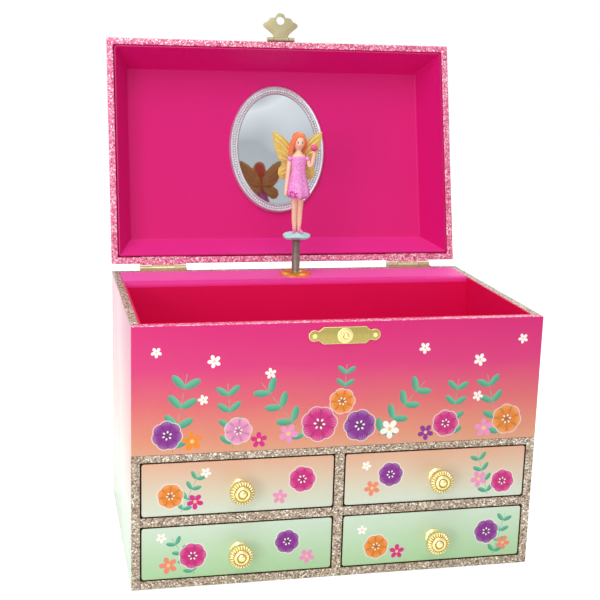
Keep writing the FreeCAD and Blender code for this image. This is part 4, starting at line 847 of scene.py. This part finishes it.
# A paler brass: the own colour of the nails and the stud, and a painted highlight on the keeper plate's bevelled
# edges.
bright_brass_and_edge_highlight = Finish("bright_brass_and_painted_edge_highlight", Metallic=0.8)
highlight_and_wear_cloud = bright_brass_and_edge_highlight.noise(1.2, 3)
bright_brass_and_edge_highlight.set(Base_Color=bright_brass_and_edge_highlight.mix(highlight_and_wear_cloud, tint(232, 208, 130), tint(250, 236, 180)),
                 Roughness=0.2 + 0.1 * highlight_and_wear_cloud)


def off_face(centre, normal):
    return abs(normal.y) < 0.97


covered(keeper, latch_brass.material, (bright_brass_and_edge_highlight.material, off_face))
painted(bright_brass_and_edge_highlight.material, "case_nails")
fitted(keeper, "case", "keeper_plate")
STUD_PROFILE = (
    (0, -3.3), (1.2, -3.3), (1.2, 0.7), (4.5, 0.7), (4.5, 1.2), (4.1, 1.5), (3.5, 1.6), (3.3, 1.9), (2.1, 1.9),
    (1.9, 2.8), (1.6, 4.2), (1.2, 4.7), (0.6, 4.9), (0, 4.6),
)
stud = lathed("stud", STUD_PROFILE, 40, (0, FRONT, LATCH_Z), "-Y")
stud.data.materials.append(bright_brass_and_edge_highlight.material)
fitted(stud, "case", "keeper_stud")
tongue_brass = Finish("olive_brass", Metallic=0.55)
tongue_wear = tongue_brass.noise(2, 4)
tongue_brass.set(Base_Color=tongue_brass.mix(tongue_wear, tint(160, 151, 112), tint(184, 175, 138)),
                 Roughness=0.4 + 0.1 * tongue_wear)
painted(tongue_brass.material, "hasp_plate")
HASP_PIN = (4.644, 157.567)
EYE_RISE = 13.24
TONGUE_SIDE = ((5.15, 2.2), (5.6, 3.4), (7.2, 5.0), (9.2, 6.7), (11.2, 8.2), (12.2, 9.6), (12.0, 10.7), (10.8, 11.7),
               (9.3, 12.4), (8.7, 12.6), (8.3, 13.6), (7.3, 14.7), (5.6, 15.4), (3.9, 15.4), (3.4, 15.5), (3.1, 16.6),
               (2.2, 17.9), (0.9, 18.5))
rising = [(5.15, 0), *TONGUE_SIDE]
tongue_outline = rising + [(-x, z) for x, z in reversed(rising)]
tongue = sawn("tongue", [(x, HASP_PIN[0] + 0.4, HASP_PIN[1] + z) for x, z in tongue_outline], (0, -0.8, 0), 0.2)
bpy.ops.mesh.primitive_cylinder_add(vertices=40, radius=2.9 * MM, depth=6 * MM, rotation=(math.pi / 2, 0, 0),
                                    location=Vector((0, HASP_PIN[0], HASP_PIN[1] + EYE_RISE)) * MM)
punch = bpy.context.object
eye = tongue.modifiers.new("eye", "BOOLEAN")
eye.object = punch
eye.solver = "EXACT"
bpy.context.view_layer.objects.active = tongue
bpy.ops.object.modifier_apply(modifier=eye.name)
bpy.data.objects.remove(punch)
tongue.data.materials.append(tongue_brass.material)
KNUCKLE_PROFILE = ((0.75, -5.15), (1.6, -5.15), (1.7, -5.05), (1.7, 5.05), (1.6, 5.15), (0.75, 5.15))
knuckle = lathed("knuckle", KNUCKLE_PROFILE, 24, (0, *HASP_PIN), "X")
knuckle.data.materials.append(tongue_brass.material)
tongue = in_lid(joined("tongue", [tongue, knuckle]))
fitted(tongue, "hasp", "hasp_tongue")

# Coil stem: a close-wound steel spring that carries the figurine. Its foot turns in the collar.
STEM = (0, 56)
STEM_FOOT = 156.3
STEM_TOP = 178.3
COILS = 26
WIRE = 0.8
bpy.ops.object.select_all(action="DESELECT")
bpy.ops.mesh.primitive_circle_add(vertices=8, radius=WIRE / 2 * MM, fill_type="NOTHING")
coil = bpy.context.object
coil.name = "coil_stem"
coil.data.transform(Matrix.Translation((2.4 * MM, 0, WIRE / 2 * MM)) @ Matrix.Rotation(math.pi / 2, 4, "X"))
winding = coil.modifiers.new("winding", "SCREW")
winding.steps = 18
winding.render_steps = 18
winding.iterations = COILS
winding.screw_offset = (STEM_TOP - STEM_FOOT - WIRE) / COILS * MM
bpy.ops.object.modifier_apply(modifier=winding.name)
bpy.ops.object.mode_set(mode="EDIT")
bpy.ops.mesh.select_all(action="SELECT")
bpy.ops.mesh.fill_holes(sides=0)
bpy.ops.mesh.select_all(action="SELECT")
bpy.ops.mesh.normals_make_consistent(inside=False)
bpy.ops.object.mode_set(mode="OBJECT")
coil.data.transform(Matrix.Translation(Vector((*STEM, STEM_FOOT)) * MM))
bpy.ops.object.shade_smooth_by_angle(angle=math.radians(50))
spring_steel = Finish("dull_spring_steel", Metallic=0.8)
spring_wear = spring_steel.noise(1.4, 4)
spring_steel.set(Base_Color=spring_steel.mix(spring_wear, tint(128, 120, 114), tint(176, 168, 160)),
                 Roughness=0.34 + 0.14 * spring_wear)
coil.data.materials.append(spring_steel.material)
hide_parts("stem_spring")
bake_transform(coil)

# Figurine: moulded plastic, painted by hand: a winged dancer in a short lilac dress, standing on a
# rippled turquoise base, with one arm at the side and a berry held up in the other hand.
FIGURE_BASE = 178.6


def moulded(name, rings, sides=14, waves=8, smooth=1):
    """Draw a form out through rings of centre, half width, half depth and ripple, in millimetres."""
    bpy.ops.object.select_all(action="DESELECT")
    bpy.ops.mesh.primitive_circle_add(vertices=sides, fill_type="NGON")
    form = bpy.context.object
    form.name = name
    bpy.ops.object.mode_set(mode="EDIT")
    bpy.ops.mesh.select_all(action="SELECT")
    for step in rings[1:]:
        bpy.ops.mesh.extrude_region_move(TRANSFORM_OT_translate={"value": (0, 0, MM)})
    bpy.ops.object.mode_set(mode="OBJECT")
    centres = [Vector(ring[0]) for ring in rings]
    for index, (centre, half_width, half_depth, ripple) in enumerate(rings):
        along = (centres[min(index + 1, len(rings) - 1)] - centres[max(index - 1, 0)]).normalized()
        deep = (Vector((0, 1, 0)) - along * along.y).normalized()
        wide = deep.cross(along)
        for corner in range(sides):
            turn = math.tau * corner / sides
            swell = 1 + ripple * math.cos(waves * turn)
            spot = (Vector(centre) + wide * half_width * swell * math.cos(turn)
                    + deep * half_depth * swell * math.sin(turn))
            form.data.vertices[index * sides + corner].co = (spot + Vector((*STEM, FIGURE_BASE))) * MM
    bpy.ops.object.mode_set(mode="EDIT")
    bpy.ops.mesh.select_all(action="SELECT")
    bpy.ops.mesh.normals_make_consistent(inside=False)
    bpy.ops.object.mode_set(mode="OBJECT")
    soften = form.modifiers.new("softening", "SUBSURF")
    soften.levels = smooth
    soften.render_levels = smooth
    bpy.ops.object.modifier_apply(modifier=soften.name)
    bpy.ops.object.shade_smooth()
    return form


def paint_coat(name, shade, light, glints=0.0):
    """Hand-laid paint on moulded plastic, a little uneven, with optional white flecks painted in as glints of glitter.
    """
    coat = Finish(name, Coat_Weight=0.2, Coat_Roughness=0.2)
    uneven = coat.noise(1.8, 4)
    colour = coat.mix(uneven, shade, light)
    # The glitter's sparkle is painted into the colour as white flecks: painted glints.
    if glints:
        sparkle = {"Vector": coat.where, "Scale": 1 / (0.45 * MM)}
        flakes = coat.node("ShaderNodeTexVoronoi", {}, sparkle, "Color")
        bright = coat.node("ShaderNodeSeparateColor", {}, {"Color": flakes}, "Blue") > 0.78
        colour = coat.mix(bright * glints, colour, WHITE)
    coat.set(Base_Color=colour, Roughness=0.4 + 0.15 * uneven)
    coat.bump(uneven, 0.03)
    return coat.material


def ball(name, centre, half_width, half_depth, half_height, sides=12):
    """A small rounded form about a centre."""
    x, y, z = centre
    rings = []
    for level in (-0.98, -0.8, -0.45, 0, 0.45, 0.8, 0.98):
        breadth = math.sqrt(1 - level * level)
        rings.append(((x, y, z + level * half_height), half_width * breadth, half_depth * breadth, 0))
    return moulded(name, rings, sides)


skin = Finish("skin_paint", Coat_Weight=0.15, Coat_Roughness=0.25)
skin_x, skin_y, skin_z = skin.axes()
skin_tone = skin.mix(skin.noise(2.5, 3), tint(248, 202, 170), tint(254, 220, 194))
cheek_z = FIGURE_BASE + 62.2
eye_z = FIGURE_BASE + 64.0
face_front = skin_y < STEM[1] - 2.6
beside = abs(skin_x)


def painted_spot(across, up, half_width, half_height):
    """A soft-edged painted oval on the front of the face."""
    return ((1 - ((across / half_width) ** 2 + (up / half_height) ** 2)) * 3).kept() * face_front


skin_tone = skin.mix(painted_spot(beside - 2.3, skin_z - cheek_z, 1.0, 0.8) * 0.4, skin_tone, tint(240, 120, 120))
skin_tone = skin.mix(painted_spot(beside - 1.6, skin_z - eye_z, 0.85, 0.55), skin_tone, WHITE)
skin_tone = skin.mix(painted_spot(beside - 1.55, skin_z - eye_z - 0.05, 0.6, 0.62), skin_tone, tint(60, 46, 52))
skin_tone = skin.mix(
    painted_spot(beside - 1.65, skin_z - eye_z - 1.15, 0.85, 0.16), skin_tone, tint(150, 80, 44))
skin_tone = skin.mix(painted_spot(skin_x, skin_z - cheek_z + 1.25, 0.85, 0.26), skin_tone, tint(206, 60, 84))
skin.set(Base_Color=skin_tone, Roughness=0.42 + 0.1 * skin.noise(1.2, 3))

base_paint = paint_coat("turquoise_paint", tint(120, 206, 206), tint(214, 242, 240))
rippled = moulded("puddle", [
    ((0, 0, 0.0), 3.6, 3.6, 0.0), ((0, 0, 0.7), 7.4, 7.0, 0.03), ((0, 0, 1.7), 9.3, 8.8, 0.06),
    ((0, 0, 2.5), 9.4, 8.9, 0.07), ((0, 0, 3.4), 8.0, 7.6, 0.06), ((0, 0, 4.3), 5.8, 5.6, 0.04),
    ((0, 0, 4.9), 3.0, 3.0, 0.0),
], 30, 5)
for vertex in rippled.data.vertices:
    across, back = vertex.co.x - STEM[0] * MM, vertex.co.y - STEM[1] * MM
    vertex.co.z += 0.06 * math.hypot(across, back) * math.sin(3 * math.atan2(back, across) + 0.6)
rippled.data.materials.append(base_paint)

slipper_paint = paint_coat("pink_slipper_paint", tint(232, 110, 170), tint(246, 150, 196))
parts = [rippled]
for side in (-1, 1):
    leg = moulded("leg", [
        ((side * 1.5, 0.2, 4.4), 1.25, 1.35, 0), ((side * 1.5, 0.1, 7.5), 1.25, 1.35, 0),
        ((side * 1.75, 0.5, 13), 1.9, 2.1, 0), ((side * 1.75, 0.1, 18), 1.8, 1.9, 0),
        ((side * 2.0, 0, 24), 2.3, 2.4, 0), ((side * 2.1, 0, 31), 2.5, 2.6, 0),
    ])
    leg.data.materials.append(skin.material)
    slipper = moulded("slipper", [
        ((side * 1.6, 1.9, 4.6), 0.8, 0.5, 0), ((side * 1.6, 1.7, 5.5), 1.35, 0.9, 0),
        ((side * 1.7, 0.0, 5.9), 1.55, 1.3, 0), ((side * 2.4, -2.6, 5.4), 1.55, 0.95, 0),
        ((side * 2.9, -4.8, 4.9), 0.8, 0.55, 0),
    ])
    slipper.data.materials.append(slipper_paint)
    parts += [leg, slipper]
    for level in (7.2, 8.6):
        ribbon = moulded("ribbon", [
            ((side * 1.5, 0.1, level - 0.3), 1.3, 1.42, 0), ((side * 1.52, 0.1, level), 1.48, 1.6, 0),
            ((side * 1.54, 0.1, level + 0.3), 1.36, 1.48, 0),
        ])
        ribbon.data.materials.append(slipper_paint)
        parts.append(ribbon)

dress_paint = paint_coat("lilac_glitter_paint", tint(228, 108, 204), tint(242, 152, 224), 0.4)
dress = moulded("dress", [
    ((0, 0, 29.5), 5.5, 5.0, 0.0), ((0, 0, 27.0), 9.2, 8.0, 0.1), ((0, 0, 28.4), 9.3, 8.1, 0.09),
    ((0, 0, 32), 8.0, 6.9, 0.06), ((0, 0, 37), 6.7, 5.7, 0.035), ((0, 0, 42), 5.5, 4.6, 0.015),
    ((0, 0, 46.5), 4.5, 3.8, 0), ((0, 0, 50), 5.0, 3.9, 0), ((0, -0.1, 53), 5.5, 3.9, 0),
    ((0, -0.1, 54.2), 5.2, 3.6, 0), ((0, 0, 54.4), 4.3, 2.9, 0),
], 40, 8)
dress.data.materials.append(dress_paint)
bust = moulded("bust", [
    ((0, 0, 52), 4.6, 3.2, 0), ((0, 0, 54.5), 5.0, 3.1, 0), ((0, 0, 56), 4.4, 2.7, 0), ((0, 0, 57), 2.4, 1.9, 0),
    ((0, -0.1, 58.5), 1.6, 1.6, 0), ((0, -0.2, 61), 1.6, 1.6, 0),
])
bust.data.materials.append(skin.material)
head = moulded("head", [
    ((0, -1.2, 58.9), 0.9, 0.8, 0), ((0, -0.9, 59.5), 2.0, 2.2, 0), ((0, -0.6, 60.9), 3.1, 3.6, 0),
    ((0, -0.4, 62.4), 3.75, 4.2, 0), ((0, -0.2, 64.2), 4.0, 4.3, 0), ((0, 0, 66.2), 3.9, 4.2, 0),
    ((0, 0.2, 68), 3.1, 3.4, 0), ((0, 0.2, 69), 1.5, 1.6, 0),
], 20)
head.data.materials.append(skin.material)
nose = ball("nose", (0, -4.5, 62.9), 0.45, 0.7, 0.6, 8)
nose.data.materials.append(skin.material)
parts += [dress, bust, head, nose]
for side in (-1, 1):
    sleeve = ball("sleeve", (side * 5.7, 0, 53.4), 2.1, 2.5, 1.9)
    sleeve.data.materials.append(dress_paint)
    parts.append(sleeve)

lowered = moulded("lowered_arm", [
    ((-5.9, 0, 53.5), 1.5, 1.5, 0), ((-6.5, -0.1, 48), 1.6, 1.6, 0), ((-7.0, -0.3, 42.5), 1.35, 1.4, 0),
    ((-7.8, -1.0, 37), 1.25, 1.3, 0), ((-8.4, -1.8, 32.6), 1.0, 1.05, 0), ((-8.6, -2.1, 31), 1.15, 1.35, 0),
    ((-8.5, -2.4, 28.6), 0.7, 0.95, 0),
])
raised = moulded("raised_arm", [
    ((5.9, 0, 53.5), 1.5, 1.5, 0), ((6.9, -0.3, 50.2), 1.6, 1.6, 0), ((7.5, -1.2, 47.6), 1.5, 1.5, 0),
    ((8.3, -2.4, 48.6), 1.45, 1.45, 0), ((9.0, -3.0, 52.5), 1.3, 1.3, 0), ((9.5, -3.4, 56.2), 1.0, 1.0, 0),
    ((9.6, -3.5, 57.6), 1.2, 1.1, 0), ((9.6, -3.5, 58.7), 1.1, 1.0, 0),
])
berry = ball("berry", (9.4, -3.5, 60.8), 2.8, 2.6, 2.2, 16)
lowered.data.materials.append(skin.material)
raised.data.materials.append(skin.material)
berry.data.materials.append(paint_coat("berry_glitter_paint", tint(206, 16, 112), tint(232, 44, 140), 0.25))
parts += [lowered, raised, berry]

hair_paint = paint_coat("copper_hair_paint", tint(228, 100, 50), tint(250, 152, 100))
cap = moulded("hair_cap", [
    ((0, 2.7, 58.6), 3.3, 2.0, 0.03), ((0, 2.4, 61), 4.4, 2.9, 0.04), ((0, 1.9, 64), 4.75, 3.7, 0.04),
    ((0, 1.2, 66.6), 4.7, 4.5, 0.03), ((0, 0.4, 68.8), 4.1, 4.6, 0.03), ((0, 0.1, 70.2), 2.6, 3.0, 0.02),
    ((0, 0.1, 70.8), 0.9, 1.0, 0),
], 36, 12)
cap.data.materials.append(hair_paint)
parts.append(cap)
for side, crown, temple, shoulder, tip in (
    (-1, (-0.4, -3.4, 69.2), (-4.0, -3.0, 65.4), (-4.7, -1.6, 60.4), (-6.1, -2.2, 55.6)),
    (-1, (-1.2, -1.4, 70.2), (-5.0, -1.0, 65.8), (-5.6, 0.4, 60.0), (-7.0, -0.4, 55.8)),
    (1, (0.3, -3.4, 69.2), (3.7, -3.0, 66.4), (4.1, -0.6, 62.2), (4.0, 1.4, 58.6)),
    (1, (1.2, -1.2, 70.2), (4.5, -0.8, 66.0), (4.6, 1.6, 60.6), (4.2, 2.4, 56.4)),
    (-1, (-1.6, 3.6, 66.0), (-2.6, 4.6, 60.0), (-2.8, 4.7, 54.0), (-2.2, 4.3, 49.4)),
    (1, (1.6, 3.6, 66.0), (2.6, 4.6, 60.0), (2.8, 4.7, 54.0), (2.2, 4.3, 49.4)),
    (1, (0.0, 4.2, 66.0), (0.0, 5.1, 60.0), (0.1, 5.1, 53.0), (0.2, 4.5, 47.6)),
):
    lock = moulded("lock", [
        (crown, 0.7, 0.6, 0), (temple, 1.25, 1.0, 0.0), (shoulder, 1.35, 1.1, 0), (tip, 0.3, 0.3, 0),
    ], 10, 5, 2)
    lock.data.materials.append(hair_paint)
    parts.append(lock)

bead_paint = paint_coat("yellow_bead_paint", tint(238, 206, 120), tint(250, 232, 170))
petal_paint = paint_coat("magenta_petal_paint", tint(206, 28, 160), tint(236, 84, 190))
for index in range(11):
    turn = math.radians(200 + 14 * index)
    bead = ball("bead", (2.9 * math.cos(turn), 2.5 * math.sin(turn) - 0.1, 56.1 + 0.9 * math.sin(turn)),
                0.42, 0.42, 0.42, 6)
    bead.data.materials.append(bead_paint)
    parts.append(bead)
for x, y, z in ((-5.2, -5.9, 31.2), (-2.4, -7.0, 30.2)):
    for petal in range(5):
        turn = math.tau * petal / 5
        leaf = ball("petal", (x + 1.15 * math.cos(turn), y + 0.2, z + 1.15 * math.sin(turn)), 0.85, 0.5, 0.85, 8)
        leaf.data.materials.append(petal_paint)
        parts.append(leaf)
    heart = ball("heart", (x, y - 0.2, z), 0.5, 0.5, 0.5, 8)
    heart.data.materials.append(bead_paint)
    parts.append(heart)
fitted(joined("dancer", parts), "figure", "figurine")

# Wings: a thin moulding in gold paint, two pointed upper wings and two round lower ones, with raised ribs
# that fan out from the back, pegged to the figurine.
WING_Y = 60.8
UPPER_WING = ((0.4, 49), (1.0, 56), (4.5, 62.0), (9.5, 67.2), (13.8, 69.9), (16.6, 70.4), (16.5, 67.5),
              (15.2, 60.5), (12.8, 53.8), (9.2, 49.6), (4.5, 48.2))
LOWER_WING = ((0.6, 49.4), (5.0, 49.4), (9.4, 49.0), (12.0, 46.6), (12.6, 43.0), (10.8, 39.8), (7.4, 39.2),
              (3.8, 42.0), (1.0, 46.0))
UPPER_RIBS = (((1.5, 54), (5, 60), (10, 65.4), (15.8, 69.6)), ((2.0, 52.5), (6, 57.5), (10.5, 62.3), (15.6, 66.4)),
              ((2.4, 51.2), (6.4, 54.8), (10.5, 57.5), (14.0, 59)), ((2.6, 50), (6, 51.6), (9.5, 53), (12.2, 53.8)))
LOWER_RIBS = (((1.6, 48.4), (5, 47.4), (8.5, 46.6), (11, 45.2)), ((1.6, 47.6), (4.8, 45.2), (8, 43.2), (10.8, 42.6)),
              ((1.6, 46.8), (3.8, 44.4), (5.8, 42.6), (7.8, 41.4)))
wing_gold = Finish("wing_gold_paint", Metallic=0.2)
wing_cloud = wing_gold.noise(3, 4)
wing_gold.set(Base_Color=wing_gold.mix(wing_cloud, tint(202, 168, 66), tint(234, 206, 110)),
              Roughness=0.36 + 0.14 * wing_cloud)
# The raised ribs are painted a paler gold than the wing: painted highlight along the ridges.
rib_highlight_gold = paint_coat("rib_gold_painted_highlight", tint(250, 226, 142), tint(255, 244, 194))
wing_parts = []
for side in (-1, 1):
    for outline in (UPPER_WING, LOWER_WING):
        wing = sawn("wing", [(side * x, WING_Y + 0.4, FIGURE_BASE + z) for x, z in outline], (0, 0.7, 0), 0.2)
        wing.data.materials.append(wing_gold.material)
        wing_parts.append(wing)
    for line in UPPER_RIBS + LOWER_RIBS:
        rib = moulded("rib", [((side * x, WING_Y + 0.65 - STEM[1], z), 0.5, 0.98, 0) for x, z in line], 6)
        rib.data.materials.append(rib_highlight_gold)
        wing_parts.append(rib)
peg = moulded("peg", [((0, WING_Y - 1.6 - STEM[1], 47), 1.2, 0.8, 0), ((0, WING_Y - 0.3 - STEM[1], 51), 1.6, 1.7, 0),
                      ((0, WING_Y - 1.0 - STEM[1], 55), 1.0, 0.9, 0)])
peg.data.materials.append(wing_gold.material)
wing_parts.append(peg)
fitted(joined("wings", wing_parts), "figure", "figurine_wings")

# Studio: a white sweep under and behind the box, a broad soft light overhead and to the front, and the
# camera at the height and angle from which the box was photographed.
scene = bpy.context.scene
scene.view_settings.view_transform = "Standard"
bpy.ops.mesh.primitive_plane_add(size=6, location=(0, 0, -0.0004))
floor = bpy.context.object
floor.name = "floor"


def looked_at(finish):
    """1 on what is seen straight, mirrored or through glass, and 0 on what only throws light."""
    rays = [finish.node("ShaderNodeLightPath", {}, {}, f"Is {kind} Ray")
            for kind in ("Camera", "Glossy", "Transmission")]
    return (rays[0] + rays[1] + rays[2]).kept()


sweep = Finish("white_sweep", Base_Color=(0.8, 0.8, 0.8, 1), Roughness=1.0, Specular_IOR_Level=0.0,
               Emission_Strength=1.0)
sweep.set(Emission_Color=sweep.mix(looked_at(sweep), (0, 0, 0, 1), (0.66, 0.66, 0.66, 1)))
floor.data.materials.append(sweep.material)



class Surround(Finish):
    """The white studio all round, with the same way to add nodes."""

    def __init__(self, name):
        scene.world = bpy.data.worlds.new(name)
        scene.world.use_nodes = True
        self.tree = scene.world.node_tree
        self.shader = self.tree.nodes["Background"]


studio = Surround("studio")
studio.set(Color=(1, 1, 1, 1), Strength=0.5 + 0.5 * looked_at(studio))

for name, place, size, power in (
    ("overhead", (-0.25, -0.55, 1.15), 0.9, 6.5),
    ("front", (-0.75, -1.05, 0.32), 0.5, 4.2),
    ("behind", (0.3, 0.62, 1.15), 0.8, 5),
):
    bpy.ops.object.light_add(type="AREA", location=place)
    lamp = bpy.context.object
    lamp.name = name
    lamp.data.size = size
    lamp.data.energy = power
    lamp.rotation_euler = (Vector((0, 0, 0.14)) - Vector(place)).to_track_quat("-Z", "Y").to_euler()

bpy.ops.object.camera_add()
camera = bpy.context.object
camera.data.sensor_width = 36
camera.data.lens = 71.08
right = Vector((0.97578, -0.21689, 0.02864))
up = Vector((0.02075, 0.2221, 0.9748))
toward = Vector((0.21778, 0.9506, -0.22122))
camera.matrix_world = Matrix((
    (right.x, up.x, -toward.x, -0.1697),
    (right.y, up.y, -toward.y, -0.701),
    (right.z, up.z, -toward.z, 0.3133),
    (0, 0, 0, 1),
))
scene.camera = camera
